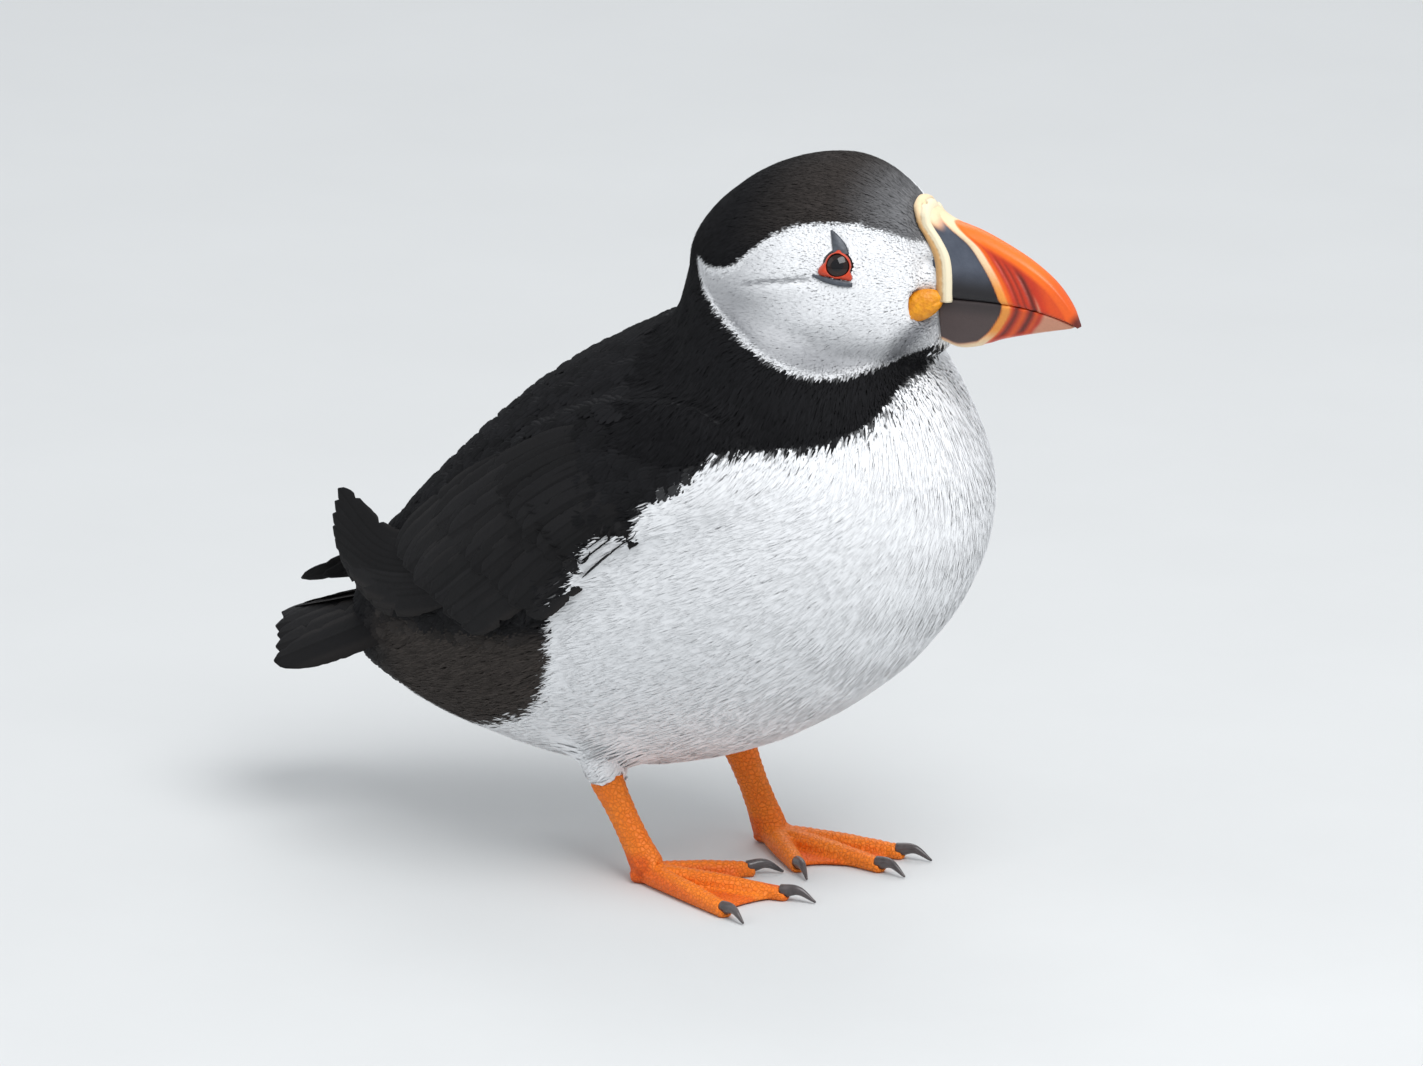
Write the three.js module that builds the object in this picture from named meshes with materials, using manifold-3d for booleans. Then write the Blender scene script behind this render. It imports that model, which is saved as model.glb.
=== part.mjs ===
// An Atlantic puffin as a still, life-size museum model: a breeding adult standing on both webbed feet.
// Millimetres. +X is where the bird faces, +Y its left side, +Z up. The floor is z = 0.
// The solids follow the outer surface of the plumage. The bird is modelled whole, then parted by thin cuts.
import * as THREE from "three";
import { mergeVertices } from "three/addons/utils/BufferGeometryUtils.js";
import Module from "manifold-3d";

const wasm = await Module();
wasm.setup();

// ---- Driving dimensions -------------------------------------------------------------------------------
const GAP = 0.3; // clearance between neighbouring pieces
const SIDES = { right: -1, left: 1 }; // the sign of y on each side of the bird

// Stations of the trunk and neck, from the tail root forwards and up to the throat.
// top and bottom are [x, z] in the middle plane, half is the half width, low moves the widest level down.
const BODY = {
  rings: 20,
  around: 24,
  start: [-107, 54],
  end: [22, 162],
  stations: [
    { at: "tail root", top: [-105, 63], bottom: [-104, 42], half: 9, low: 0 },
    { at: "rump", top: [-95, 79], bottom: [-86, 33], half: 18, low: 0 },
    { at: "loin", top: [-78, 98], bottom: [-66, 27.5], half: 28, low: 0 },
    { at: "back", top: [-58, 117], bottom: [-40, 24], half: 37, low: 0.04 },
    { at: "mid trunk", top: [-38, 132.5], bottom: [-10, 27], half: 42.5, low: 0.08 },
    { at: "shoulder", top: [-21, 141], bottom: [22, 39.5], half: 45, low: 0.12 },
    { at: "breast", top: [-12.5, 147], bottom: [54, 65], half: 43.5, low: 0.15 },
    { at: "neck base", top: [-11, 154], bottom: [69, 99], half: 37, low: 0.12 },
    { at: "neck", top: [-8, 161], bottom: [59, 132], half: 28, low: 0 },
    { at: "in the head", top: [2, 168], bottom: [43, 152], half: 20, low: 0 },
  ],
  neckCut: { at: [20, 0, 132], facing: [0.3, 0, 1] },
  rumpCut: { at: [-80, 0, 66], facing: [-0.9, 0, -0.4] },
};

// Stations of the head, from the back of the skull forwards to the root of the bill.
const HEAD = {
  rings: 13,
  around: 20,
  start: [-10, 158],
  end: [59, 160],
  stations: [
    { at: "nape", top: [-8, 167], bottom: [-5, 148], half: 12, low: 0 },
    { at: "hindcrown", top: [-3, 174], bottom: [4, 141], half: 19.5, low: 0.05 },
    { at: "rear crown", top: [8, 182.5], bottom: [15, 135], half: 24, low: 0.12 },
    { at: "crown", top: [19, 187.5], bottom: [27, 132], half: 25.8, low: 0.16 },
    { at: "eye", top: [30, 189.8], bottom: [38, 132.5], half: 25.2, low: 0.18 },
    { at: "brow", top: [39, 188.4], bottom: [47, 136], half: 22, low: 0.16 },
    { at: "forehead", top: [47, 184.2], bottom: [54.5, 139.5], half: 16.8, low: 0.1 },
    { at: "lore", top: [53, 179.2], bottom: [60, 142.5], half: 11, low: 0.05 },
  ],
};

// The bill from its root to its tip: [x, z] along the ridge above, along the edges where the two halves of
// the bill meet, and along the keel below, with the half thickness at each of those points.
const CULMEN = {
  line: [
    [54.5, 180], [60.5, 176.5], [68, 174.8], [75.5, 172], [83, 168.4], [89.5, 163.9], [94, 158.7],
    [96.5, 153.9],
  ],
  half: [3.4, 2.8, 2.5, 2.3, 2.1, 1.8, 1.4, 0.7],
};
const UPPER_EDGE = {
  line: [
    [60.5, 157.8], [66.5, 157.9], [73, 158], [79.5, 157.8], [86, 156.9], [91, 155.7], [94.3, 154.4],
    [96.3, 152.9],
  ],
  half: [7.2, 6.9, 6.3, 5.6, 4.6, 3.5, 2.2, 0.9],
};
const LOWER_EDGE = {
  line: [
    [60.5, 157.5], [66.5, 157.6], [73, 157.7], [79.5, 157.5], [86, 156.6], [90.5, 155.5], [93.4, 154.4],
    [94.8, 153.5],
  ],
  half: UPPER_EDGE.half,
};
const GONYS = {
  line: [
    [60.5, 145.6], [64.5, 144.3], [70, 145.4], [76, 147.6], [82.5, 149.5], [88.6, 151.1], [92.2, 152],
    [94.2, 152.5],
  ],
  half: [4.6, 3.6, 2.9, 2.4, 1.9, 1.5, 1.1, 0.7],
};
const BILL = {
  rings: 11,
  levels: [0, 0.35, 0.7, 0.9, 1], // shares of the height at which each side has a point
  fullness: 1.25, // how long the sides stay thick on the way up to the ridge
  ridge: 0.45, // how much narrower the very top of the ridge is
  nose: 0.6, // how far the tip runs on past its last ring
  root: [
    [51.5, 192], [52, 179.5], [53.3, 175.3], [56, 171.9], [58.8, 167.5], [60.1, 161], [60.2, 146], [59.5, 130],
  ],
  chevron: [
    [57.5, 180.5], [61.6, 176.2], [69.3, 171.5], [73.4, 167.3], [76.8, 162.9], [79.2, 158.6], [79.7, 156.3],
    [77.7, 152.7], [74, 148.4], [66, 142.5],
  ],
  cere: { width: 4.2, proud: 0.8 }, // the pale band round the root of the upper half
};

const EYE = { x: 40.3, z: 166.2, radius: 4.8, sunk: 3.2 };
const EYE_RING = { outer: 4.8, low: -0.9, high: 0.7, edge: 0.25 }; // its radius, and heights above the skin
const HORN = { height: 5.6, width: 6, thick: 1.6, rise: 3.2, back: 0.6 }; // the blue-grey spike above the eye
const SLIP = { length: 11.5, height: 2, thick: 1.6, drop: 3.9, back: 0.6 }; // the bar below it
const ROSETTE = { x: 57.6, z: 156, length: 12.6, height: 8.6, thick: 4.6, tilt: -0.3, turn: 0.42, out: 8.8 };

// The folded wing lies on the body as a shell of this depth, inside an outline [x, z] seen from the side.
const WING = {
  depth: 3,
  settle: 2, // the shell is set back by this, so its front edge sinks into the breast
  clear: 7, // how near the middle plane it comes at the rump
  outline: [
    [29, 113], [15, 103.5], [-1, 97], [-16, 85], [-32, 72], [-53, 63.5], [-76, 61], [-92, 64], [-93, 72],
    [-83, 82], [-71, 97], [-60, 106], [-40, 118], [-15, 128], [8, 131], [23, 125],
  ],
  split: { at: [-40, 0, 92], facing: [-1, 0, -0.25] }, // the cut between the arm and the hand
};
// The long flight feathers of the hand: where each tip lies, outwards from the middle plane, longest first.
// roll turns a blade from upright, 0, towards lying flat. The bird holds its right wing tip turned up.
const PRIMARY = { width: 9.5, thick: 1, root: [-52, 32, 84], rootStep: [-1.5, 0.4, -2.6] };
const PRIMARIES = {
  right: {
    roll: 0.2,
    tips: [[-106.5, 12, 87.5], [-107.5, 13, 81], [-106, 14.5, 75], [-102, 16.5, 69.5], [-95, 19, 65]],
  },
  left: { roll: 0.6, tips: [[-130, 11, 55], [-119, 13.5, 57], [-109, 15.5, 59], [-100, 18, 61]] },
};

// The tail fan: spread and pitch are in degrees, fall is how much steeper its outermost feathers lie, and
// tile is how far the vanes tip over each other in radians.
const TAIL = {
  feathers: 10, length: 51, width: 9.6, thick: 0.9, spread: 32, pitch: 17.5, fall: 10,
  root: [-80, 0, 65], rootWidth: 14, arch: 8, step: 0.35, tile: 0.9, rounding: 0.5,
};

// Each leg, from the heel under the belly down to the ball of the foot: [x, outwards, z].
// turn is the foot's heading in degrees to the left, and splay turns each toe outwards from it.
const LEGS = {
  right: { heel: [-26, 20, 25], ball: [-13, 22, 4], turn: 4, splay: { inner: -37, middle: 0, outer: 33 } },
  left: { heel: [-10, 20, 27], ball: [-2, 23, 4], turn: -15, splay: { inner: -32, middle: 0, outer: 20 } },
};
const THIGH = { top: 9.5, heel: 4.9, height: 22, back: 3, inwards: 2 };
const TARSUS = { across: 3, along: 3.7, swell: 0.25 };
const TOE_LENGTHS = { inner: 27, middle: 38, outer: 36 };
const TOE = { root: 3, knuckle: 2.6, tip: 2, heights: [2.3, 2.2, 1.9, 1.5] };
const CLAW = { length: 8, radius: 1.7, heights: [2.4, 2.6, 1.1], clear: 0.1 };
const WEB = { thick: 1.1, lift: 0.4, reach: 0.93, notch: { inner: 0.62, outer: 0.86 } };

const COLOURS = {
  black: 0x17161a, white: 0xe9ebee, face: 0xc9ccd0, orange: 0xf0640f, slate: 0x333a48, red: 0xd8370c,
  cream: 0xe3cf96, yellow: 0xf0a010, claw: 0x2a2120, eye: 0x1c1210, ring: 0xd2300f,
};

// ---- Solids -------------------------------------------------------------------------------------------
const inPlane = ([x, z]) => new THREE.Vector3(x, 0, z);
const onSide = ([x, y, z], side) => new THREE.Vector3(x, side * y, z);
const railOf = (points) => new THREE.CatmullRomCurve3(points, false, "centripetal");

// A smooth number between evenly spaced values.
function smoothValue(values, u) {
  const curve = new THREE.SplineCurve(values.map((v, i) => new THREE.Vector2(i / (values.length - 1), v)));
  return curve.getPoint(u).y;
}

function solidOf(geometry) {
  const plain = geometry.index ? geometry.toNonIndexed() : geometry.clone();
  plain.deleteAttribute("normal");
  plain.deleteAttribute("uv");
  const merged = mergeVertices(plain, 1e-3);
  const vertProperties = merged.attributes.position.array;
  const triVerts = new Uint32Array(merged.index.array);
  const made = new wasm.Manifold(new wasm.Mesh({ numProp: 3, vertProperties, triVerts }));
  if (made.volume() > 0) return made;
  triVerts.reverse(); // the rings ran the other way round, so the faces pointed inwards
  return new wasm.Manifold(new wasm.Mesh({ numProp: 3, vertProperties, triVerts }));
}

function geometryOf(solid) {
  const mesh = solid.getMesh();
  const corners = new Float32Array(mesh.numVert * 3);
  for (let i = 0; i < mesh.numVert; i++)
    corners.set(mesh.vertProperties.subarray(i * mesh.numProp, i * mesh.numProp + 3), i * 3);
  const geometry = new THREE.BufferGeometry();
  geometry.setAttribute("position", new THREE.BufferAttribute(corners, 3));
  geometry.setIndex(new THREE.BufferAttribute(mesh.triVerts, 1));
  return geometry;
}

const largest = (solid) => solid.decompose().sort((a, b) => b.volume() - a.volume())[0];
const without = (solid, ...others) => others.reduce((left, other) => left.subtract(other), solid);
const joined = (solids) => solids.reduce((whole, solid) => whole.add(solid));

// A closed skin over rings with the same number of points each, drawn in to a point at both ends.
function skinOver(rings, start, end) {
  const count = rings[0].length;
  const points = [start, ...rings.flat(), end];
  const index = [];
  const corner = (ring, k) => 1 + ring * count + (k % count);
  for (let k = 0; k < count; k++) {
    index.push(0, corner(0, k + 1), corner(0, k));
    for (let r = 0; r + 1 < rings.length; r++) {
      index.push(corner(r, k), corner(r, k + 1), corner(r + 1, k + 1));
      index.push(corner(r, k), corner(r + 1, k + 1), corner(r + 1, k));
    }
    index.push(points.length - 1, corner(rings.length - 1, k), corner(rings.length - 1, k + 1));
  }
  const geometry = new THREE.BufferGeometry().setFromPoints(points);
  geometry.setIndex(index);
  return solidOf(geometry);
}

// An egg-shaped ring between a top and a bottom point, half wide on each side.
function eggRing(top, bottom, { half, low, grow, count }) {
  const middle = top.clone().add(bottom).multiplyScalar(0.5);
  const up = top.clone().sub(bottom).multiplyScalar(0.5);
  up.setLength(up.length() + grow);
  return Array.from({ length: count }, (_, k) => {
    const a = (k / count) * 2 * Math.PI;
    const wide = (half + grow) * Math.sin(a) * (1 - low * Math.cos(a));
    return middle.clone().addScaledVector(up, Math.cos(a)).add(new THREE.Vector3(0, wide, 0));
  });
}

// The form that runs through stations: ring(u) anywhere along it, and solid(grow) for the whole.
function formOf({ rings, around, start, end, stations }) {
  const top = railOf(stations.map((s) => inPlane(s.top)));
  const bottom = railOf(stations.map((s) => inPlane(s.bottom)));
  const value = (key, u) => smoothValue(stations.map((s) => s[key]), u);
  const ring = (u, grow, count) => {
    const width = { half: value("half", u), low: value("low", u) };
    return eggRing(top.getPoint(u), bottom.getPoint(u), { ...width, grow, count });
  };
  const solid = (grow = 0) => {
    const all = Array.from({ length: rings }, (_, i) => ring(i / (rings - 1), grow, around));
    return skinOver(all, inPlane(start), inPlane(end));
  };
  return { ring, solid };
}

const body = formOf(BODY);
const head = formOf(HEAD);

// A thin plate with the outline of a shape, raised from z = 0 by its thickness.
function plateOf(shape, thick, curveSegments = 6) {
  return new THREE.ExtrudeGeometry(shape, { depth: thick, bevelEnabled: false, curveSegments });
}

// Everything on the side of a plane that its normal points to, as a large box.
function beyond(point, normal) {
  const SIZE = 800;
  const box = new THREE.BoxGeometry(SIZE, SIZE, SIZE).translate(0, 0, SIZE / 2);
  const turn = new THREE.Quaternion().setFromUnitVectors(new THREE.Vector3(0, 0, 1), normal);
  return solidOf(box.applyQuaternion(turn).translate(point.x, point.y, point.z));
}

// Both sides of a solid, parted by a thin cut at a plane: [behind it, beyond it].
function parted(solid, cut) {
  const normal = new THREE.Vector3(...cut.facing).normalize();
  const shifted = (by) => new THREE.Vector3(...cut.at).addScaledVector(normal, by);
  const behind = beyond(shifted(-GAP / 2), normal.clone().negate());
  return [behind, beyond(shifted(GAP / 2), normal)].map((half) => solid.intersect(half));
}

// A limb of oval rings along centres, drawn in at both ends and flattened where it meets the floor.
// across and along give the half sizes of the oval at each share of the way, and roll turns it.
function limb(centres, across, along, { count, rings, floor = -Infinity, grow = 0, roll = 0 }) {
  const path = railOf(centres);
  const all = Array.from({ length: rings }, (_, i) => {
    const u = i / (rings - 1);
    const ahead = path.getTangent(u);
    const side = new THREE.Vector3(0, 0, 1).cross(ahead).normalize().applyAxisAngle(ahead, roll);
    const up = ahead.clone().cross(side).normalize();
    return Array.from({ length: count }, (__, k) => {
      const a = ((k + 0.5) / count) * 2 * Math.PI;
      const p = path.getPoint(u).addScaledVector(side, (across(u) + grow) * Math.cos(a));
      p.addScaledVector(up, (along(u) + grow) * Math.sin(a));
      p.z = Math.max(p.z, floor);
      return p;
    });
  });
  const cap = (u, by) => path.getPoint(u).addScaledVector(path.getTangent(u), by * (across(u) / 2 + grow));
  return skinOver(all, cap(0, -1), cap(1, 1));
}

// ---- Bill ---------------------------------------------------------------------------------------------
// Half a bill: each ring runs up one side from the cutting edge to the ridge and down the other side.
function mandible(ridge, edge, grow) {
  const ridgeRail = railOf(ridge.line.map(inPlane));
  const edgeRail = railOf(edge.line.map(inPlane));
  const rings = Array.from({ length: BILL.rings }, (_, i) => {
    const u = i / (BILL.rings - 1);
    const low = edgeRail.getPoint(u);
    const high = ridgeRail.getPoint(u);
    const rise = high.clone().sub(low).normalize();
    low.addScaledVector(rise, -grow);
    high.addScaledVector(rise, grow);
    const [wide, thin] = [smoothValue(edge.half, u), smoothValue(ridge.half, u)];
    const side = BILL.levels.map((v) => {
      const half = THREE.MathUtils.lerp(wide, thin, v ** BILL.fullness);
      return low.clone().lerp(high, v).setY(half * (v === 1 ? BILL.ridge : 1) + grow);
    });
    return [...side, ...side.map((p) => p.clone().setY(-p.y)).reverse()];
  });
  const middleOf = (u, by) => {
    const middle = edgeRail.getPoint(u).lerp(ridgeRail.getPoint(u), 0.5);
    return middle.setX(middle.x + by);
  };
  return skinOver(rings, middleOf(0, -1 - grow), middleOf(1, BILL.nose + grow));
}

const upperBill = (grow = 0) => mandible(CULMEN, UPPER_EDGE, grow);
const lowerBill = (grow = 0) => mandible(GONYS, LOWER_EDGE, grow);
const wholeBill = (grow) => upperBill(grow).add(lowerBill(grow));

// A prism across the whole bill, from an outline [x, z] in the middle plane.
function prism(points) {
  const HALF = 20;
  const shape = new THREE.Shape(points.map(([x, z]) => new THREE.Vector2(x, z)));
  return solidOf(plateOf(shape, 2 * HALF).rotateX(Math.PI / 2).translate(0, HALF, 0));
}

// The pieces of the bill: the band round the root of its upper half, then the base plates and the tips.
function billSolids() {
  const BEHIND = 40;
  const BELOW = 130;
  const { root, chevron, cere } = BILL;
  const bend = new THREE.SplineCurve(chevron.map(([x, z]) => new THREE.Vector2(x, z))).getPoints(22);
  const behind = (top, line) => prism([[BEHIND, top], ...line, [BEHIND, BELOW]]);
  const plates = (by) => behind(bend[0].y + by, bend.map((p) => [p.x + by, p.y]));
  const behindRoot = (by) => behind(root[0][1], root.map(([x, z]) => [x + by, z]));
  const band = behindRoot(cere.width).subtract(behindRoot(0));
  const covered = behindRoot(cere.width + GAP);
  const upper = upperBill().subtract(covered);
  const underBand = upperBill(cere.proud + GAP).intersect(covered);
  const lower = without(lowerBill(), behindRoot(0), upperBill(GAP), underBand);
  return [
    ["bill_cere", upperBill(cere.proud).intersect(band), "cream"],
    ["bill_upper_plate", upper.intersect(plates(0)), "slate"],
    ["bill_upper_tip", upper.subtract(plates(GAP)), "red"],
    ["bill_lower_plate", lower.intersect(plates(0)), "slate"],
    ["bill_lower_tip", lower.subtract(plates(GAP)), "red"],
  ];
}

// The fleshy yellow rosette at the corner of the gape: a flattened ball turned to face out and forwards.
function rosette(side, grow = 0) {
  const { x, z, length, height, thick, tilt, turn, out } = ROSETTE;
  const half = [length, thick, height].map((size) => size / 2 + grow);
  const ball = new THREE.SphereGeometry(1, 10, 6).scale(...half);
  return solidOf(ball.rotateY(-tilt).rotateZ(-side * turn).translate(x, side * out, z));
}

// ---- Eyes ---------------------------------------------------------------------------------------------
// The point of the head at a given x and z on one side, and the outward direction there.
function onHead(x, z, side) {
  const STEPS = 60;
  const AROUND = 120;
  let best = { miss: Infinity };
  for (let i = 1; i < STEPS; i++) {
    head.ring(i / STEPS, 0, AROUND).forEach((p, k) => {
      const miss = Math.hypot(p.x - x, p.z - z);
      if (p.y * side > 0 && miss < best.miss) best = { miss, i, k, point: p };
    });
  }
  const ringAt = (i) => head.ring(i / STEPS, 0, AROUND);
  const along = ringAt(best.i + 1)[best.k].sub(best.point);
  const round = ringAt(best.i)[(best.k + 1) % AROUND].sub(best.point);
  const out = along.cross(round).normalize();
  if (out.y * side < 0) out.negate();
  return { point: best.point, out };
}

// A frame at the eye: x forwards along the skin, y up it, z outwards.
function eyeFrame(side) {
  const { point, out } = onHead(EYE.x, EYE.z, side);
  const forward = new THREE.Vector3(1, 0, 0).projectOnPlane(out).normalize();
  const up = new THREE.Vector3(0, 0, 1).projectOnPlane(out).projectOnPlane(forward).normalize();
  return new THREE.Matrix4().makeBasis(forward, up, out).setPosition(point);
}

function eyeball(side) {
  const ball = new THREE.SphereGeometry(EYE.radius, 12, 6).rotateX(Math.PI / 2).translate(0, 0, -EYE.sunk);
  return solidOf(ball.applyMatrix4(eyeFrame(side)));
}

// A turned solid about the outward axis of the eye, from a profile of [radius, height] pairs.
function turnedAtEye(side, profile) {
  const lathe = new THREE.LatheGeometry(profile.map(([r, h]) => new THREE.Vector2(r, h)), 12);
  return solidOf(lathe.rotateX(Math.PI / 2).applyMatrix4(eyeFrame(side)));
}

function eyeRing(side) {
  const { outer, low, high, edge } = EYE_RING;
  const clearOfEye = (height) => Math.sqrt(EYE.radius ** 2 - (EYE.sunk + height) ** 2) + GAP;
  const foot = [clearOfEye(low), low];
  const lip = [clearOfEye(edge), edge];
  return turnedAtEye(side, [foot, [outer, low], [outer, 0.1], [(outer + lip[0]) / 2, high], lip, foot]);
}

// The round hole in the head that the eye and its ring sit in.
function eyeSocket(side) {
  const ABOVE = 3;
  const wide = EYE_RING.outer + GAP;
  const deep = -EYE.sunk - EYE.radius - GAP;
  return turnedAtEye(side, [[0, deep], [wide * 0.7, deep], [wide, deep + 2], [wide, ABOVE], [0, ABOVE]]);
}

// A small horny plate let into the skin beside the eye.
function eyePlate(side, shape, thick, [x, y]) {
  return solidOf(plateOf(shape, thick, 3).translate(x, y, -thick / 2).applyMatrix4(eyeFrame(side)));
}

function horn(side, grow = 0) {
  const { height, width, thick, rise, back } = HORN;
  const shape = new THREE.Shape();
  shape.moveTo(-width / 2 - grow, -grow);
  shape.lineTo(width / 2 + grow, -grow);
  shape.quadraticCurveTo(width * 0.3 + grow, height * 0.6, -width * 0.25 + grow, height + grow);
  shape.quadraticCurveTo(-width * 0.6 - grow, height * 0.9, -width / 2 - grow, -grow);
  return eyePlate(side, shape, thick + 2 * grow, [-back, rise]);
}

function slip(side, grow = 0) {
  const { length, height, thick, drop, back } = SLIP;
  const shape = new THREE.Shape();
  shape.moveTo(-length / 2 - grow, grow);
  shape.quadraticCurveTo(0, -height / 4 + grow, length / 2 + grow, grow);
  shape.lineTo(length / 2 + grow, -height * 0.5 - grow);
  shape.quadraticCurveTo(0, -height * 1.3 - grow, -length / 2 - grow, -height * 0.4 - grow);
  return eyePlate(side, shape, thick + 2 * grow, [-back, -drop]);
}

// ---- Feathers of wing and tail ------------------------------------------------------------------------
// A tail feather as a thin blade from the origin along +x, widest past its middle and rounded at the tip.
function vane(length, width, thick) {
  const shape = new THREE.Shape();
  shape.moveTo(0, -width * 0.25);
  shape.quadraticCurveTo(length * 0.5, -width * 0.6, length * 0.85, -width * 0.42);
  shape.quadraticCurveTo(length * 1.02, -width * 0.25, length, 0);
  shape.quadraticCurveTo(length * 1.02, width * 0.3, length * 0.85, width * 0.46);
  shape.quadraticCurveTo(length * 0.5, width * 0.6, 0, width * 0.25);
  return plateOf(shape, thick, 2).translate(0, 0, -thick / 2);
}

function tailFan(grow = 0) {
  const { feathers, length, width, thick, spread, pitch, fall } = TAIL;
  const { root, rootWidth, arch, step, tile, rounding } = TAIL;
  const placed = Array.from({ length: feathers }, (_, i) => {
    const share = (i + 0.5) / feathers - 0.5; // from -0.5 on the right to 0.5 on the left
    const steep = THREE.MathUtils.degToRad(pitch + fall * (2 * share) ** 2);
    const feather = vane(length * (1 - rounding * share ** 2) + grow, width + 2 * grow, thick + 2 * grow);
    feather.rotateX(share * tile).rotateZ(Math.PI - THREE.MathUtils.degToRad(share * spread));
    feather.translate(0, share * rootWidth, -arch * share ** 2 - step * Math.abs(i - (feathers - 1) / 2));
    return solidOf(feather.rotateY(-steep).translate(...root));
  });
  return joined(placed);
}

// One primary: a thin blade on a curve from its root on the hand, along the flank, to its tip.
function primary(side, { tip, roll, i, grow }) {
  const { width, thick, root, rootStep } = PRIMARY;
  const from = onSide(root.map((v, k) => v + i * rootStep[k]), side);
  const to = onSide(tip, side);
  const sag = Math.max(0, to.z - 60) * 0.45; // an upturned tip leaves a lower middle
  const middle = from.clone().lerp(to, 0.62).add(new THREE.Vector3(0, side * 2, -sag));
  const half = (u) => (width / 2) * (0.75 + 0.9 * u) * (1 - 0.72 * u ** 6);
  return limb([from, middle, to], () => thick / 2, half, { rings: 4, count: 6, roll: -side * roll, grow });
}

// The folded wing: a shell over the body within its outline, and the primaries that run out behind it.
function wing(name, grow = 0) {
  const FAR = 90;
  const side = SIDES[name];
  const outline = new THREE.SplineCurve(WING.outline.map(([x, z]) => new THREE.Vector2(x, z)));
  const shape = new THREE.Shape(outline.getPoints(WING.outline.length * 2));
  const slab = plateOf(shape, FAR).rotateX(Math.PI / 2);
  slab.translate(0, side > 0 ? FAR + WING.clear : -WING.clear, 0);
  const shell = body.solid(WING.depth + grow).translate(-WING.settle, 0, 0).intersect(solidOf(slab));
  const { tips, roll } = PRIMARIES[name];
  return joined([shell, ...tips.map((tip, i) => primary(side, { tip, roll, i, grow }))]);
}

// ---- Legs ---------------------------------------------------------------------------------------------
function thigh(name) {
  const heel = onSide(LEGS[name].heel, SIDES[name]);
  const top = heel.clone().add(new THREE.Vector3(-THIGH.back, -SIDES[name] * THIGH.inwards, THIGH.height));
  const foot = heel.clone().add(new THREE.Vector3(0.5, 0, -1.5));
  const radius = (u) => THREE.MathUtils.lerp(THIGH.top, THIGH.heel, u ** 1.6);
  return limb([top, heel.clone().lerp(top, 0.4), foot], radius, radius, { rings: 5, count: 10 });
}

function tarsus(name, grow = 0) {
  const heel = onSide(LEGS[name].heel, SIDES[name]);
  const ball = onSide(LEGS[name].ball, SIDES[name]);
  const swell = (u) => 1 + TARSUS.swell * (2 * u - 1) ** 2;
  const across = (u) => TARSUS.across * swell(u);
  const along = (u) => TARSUS.along * swell(u);
  const centres = [heel, heel.clone().lerp(ball, 0.5), ball];
  return limb(centres, across, along, { rings: 5, count: 9, floor: 0, grow });
}

// The direction that a toe points in, in radians from +X.
function heading(name, toe) {
  const { turn, splay } = LEGS[name];
  return THREE.MathUtils.degToRad(turn + SIDES[name] * splay[toe]);
}

// The point at a distance out from the ball of the foot, along a toe's heading, at a height.
function outFromBall(name, angle, distance, height) {
  const ball = onSide(LEGS[name].ball, SIDES[name]);
  return new THREE.Vector3(ball.x + Math.cos(angle) * distance, ball.y + Math.sin(angle) * distance, height);
}

function toeSolid(name, toe, grow = 0) {
  const shares = [-0.09, 0.35, 0.7, 1];
  const path = shares.map((share, i) =>
    outFromBall(name, heading(name, toe), TOE_LENGTHS[toe] * share, TOE.heights[i]),
  );
  const knuckles = (u) => (TOE.knuckle - TOE.tip) * 0.45 * Math.sin(u * 3 * Math.PI) ** 2;
  const thick = (u) => THREE.MathUtils.lerp(TOE.root, TOE.tip, u) + knuckles(u);
  return limb(path, thick, thick, { rings: 5, count: 8, floor: -grow, grow });
}

function claw(name, toe, grow = 0) {
  const { length, radius, heights, clear } = CLAW;
  const starts = [-1.2, length * 0.45, length * 0.95];
  const path = starts.map((d, i) => outFromBall(name, heading(name, toe), TOE_LENGTHS[toe] + d, heights[i]));
  const thin = (u) => radius * (1 - 0.8 * u);
  return limb(path, thin, thin, { rings: 4, count: 5, floor: clear - grow, grow });
}

// A web: a thin sheet between the middle toe and a side toe, out to a shallow arc between their claws.
function web(name, sideToe) {
  const [a, b] = [heading(name, "middle"), heading(name, sideToe)];
  const [ra, rb] = [TOE_LENGTHS.middle * WEB.reach, TOE_LENGTHS[sideToe] * WEB.reach];
  const start = outFromBall(name, a, 0, 0);
  const first = outFromBall(name, a, ra, 0);
  const notch = outFromBall(name, (a + b) / 2, ((ra + rb) / 2) * WEB.notch[sideToe], 0);
  const second = outFromBall(name, b, rb, 0);
  const shape = new THREE.Shape();
  shape.moveTo(start.x, start.y);
  shape.lineTo(first.x, first.y);
  shape.quadraticCurveTo(notch.x, notch.y, second.x, second.y);
  shape.closePath();
  return solidOf(plateOf(shape, WEB.thick, 8).translate(0, 0, WEB.lift));
}

// ---- The bird -----------------------------------------------------------------------------------------
const bird = new THREE.Group();

function addPart(name, solid, colour, roughness = 0.8) {
  const material = new THREE.MeshStandardMaterial({ color: COLOURS[colour], roughness, metalness: 0 });
  const mesh = new THREE.Mesh(geometryOf(largest(solid)), material);
  mesh.name = name;
  bird.add(mesh);
}

function addBody() {
  const [lower, neck] = parted(body.solid().subtract(head.solid(GAP)), BODY.neckCut);
  const [trunk, rump] = parted(lower, BODY.rumpCut);
  addPart("trunk", trunk, "white");
  addPart("rump", rump, "black");
  addPart("neck", neck, "black");
}

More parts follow.
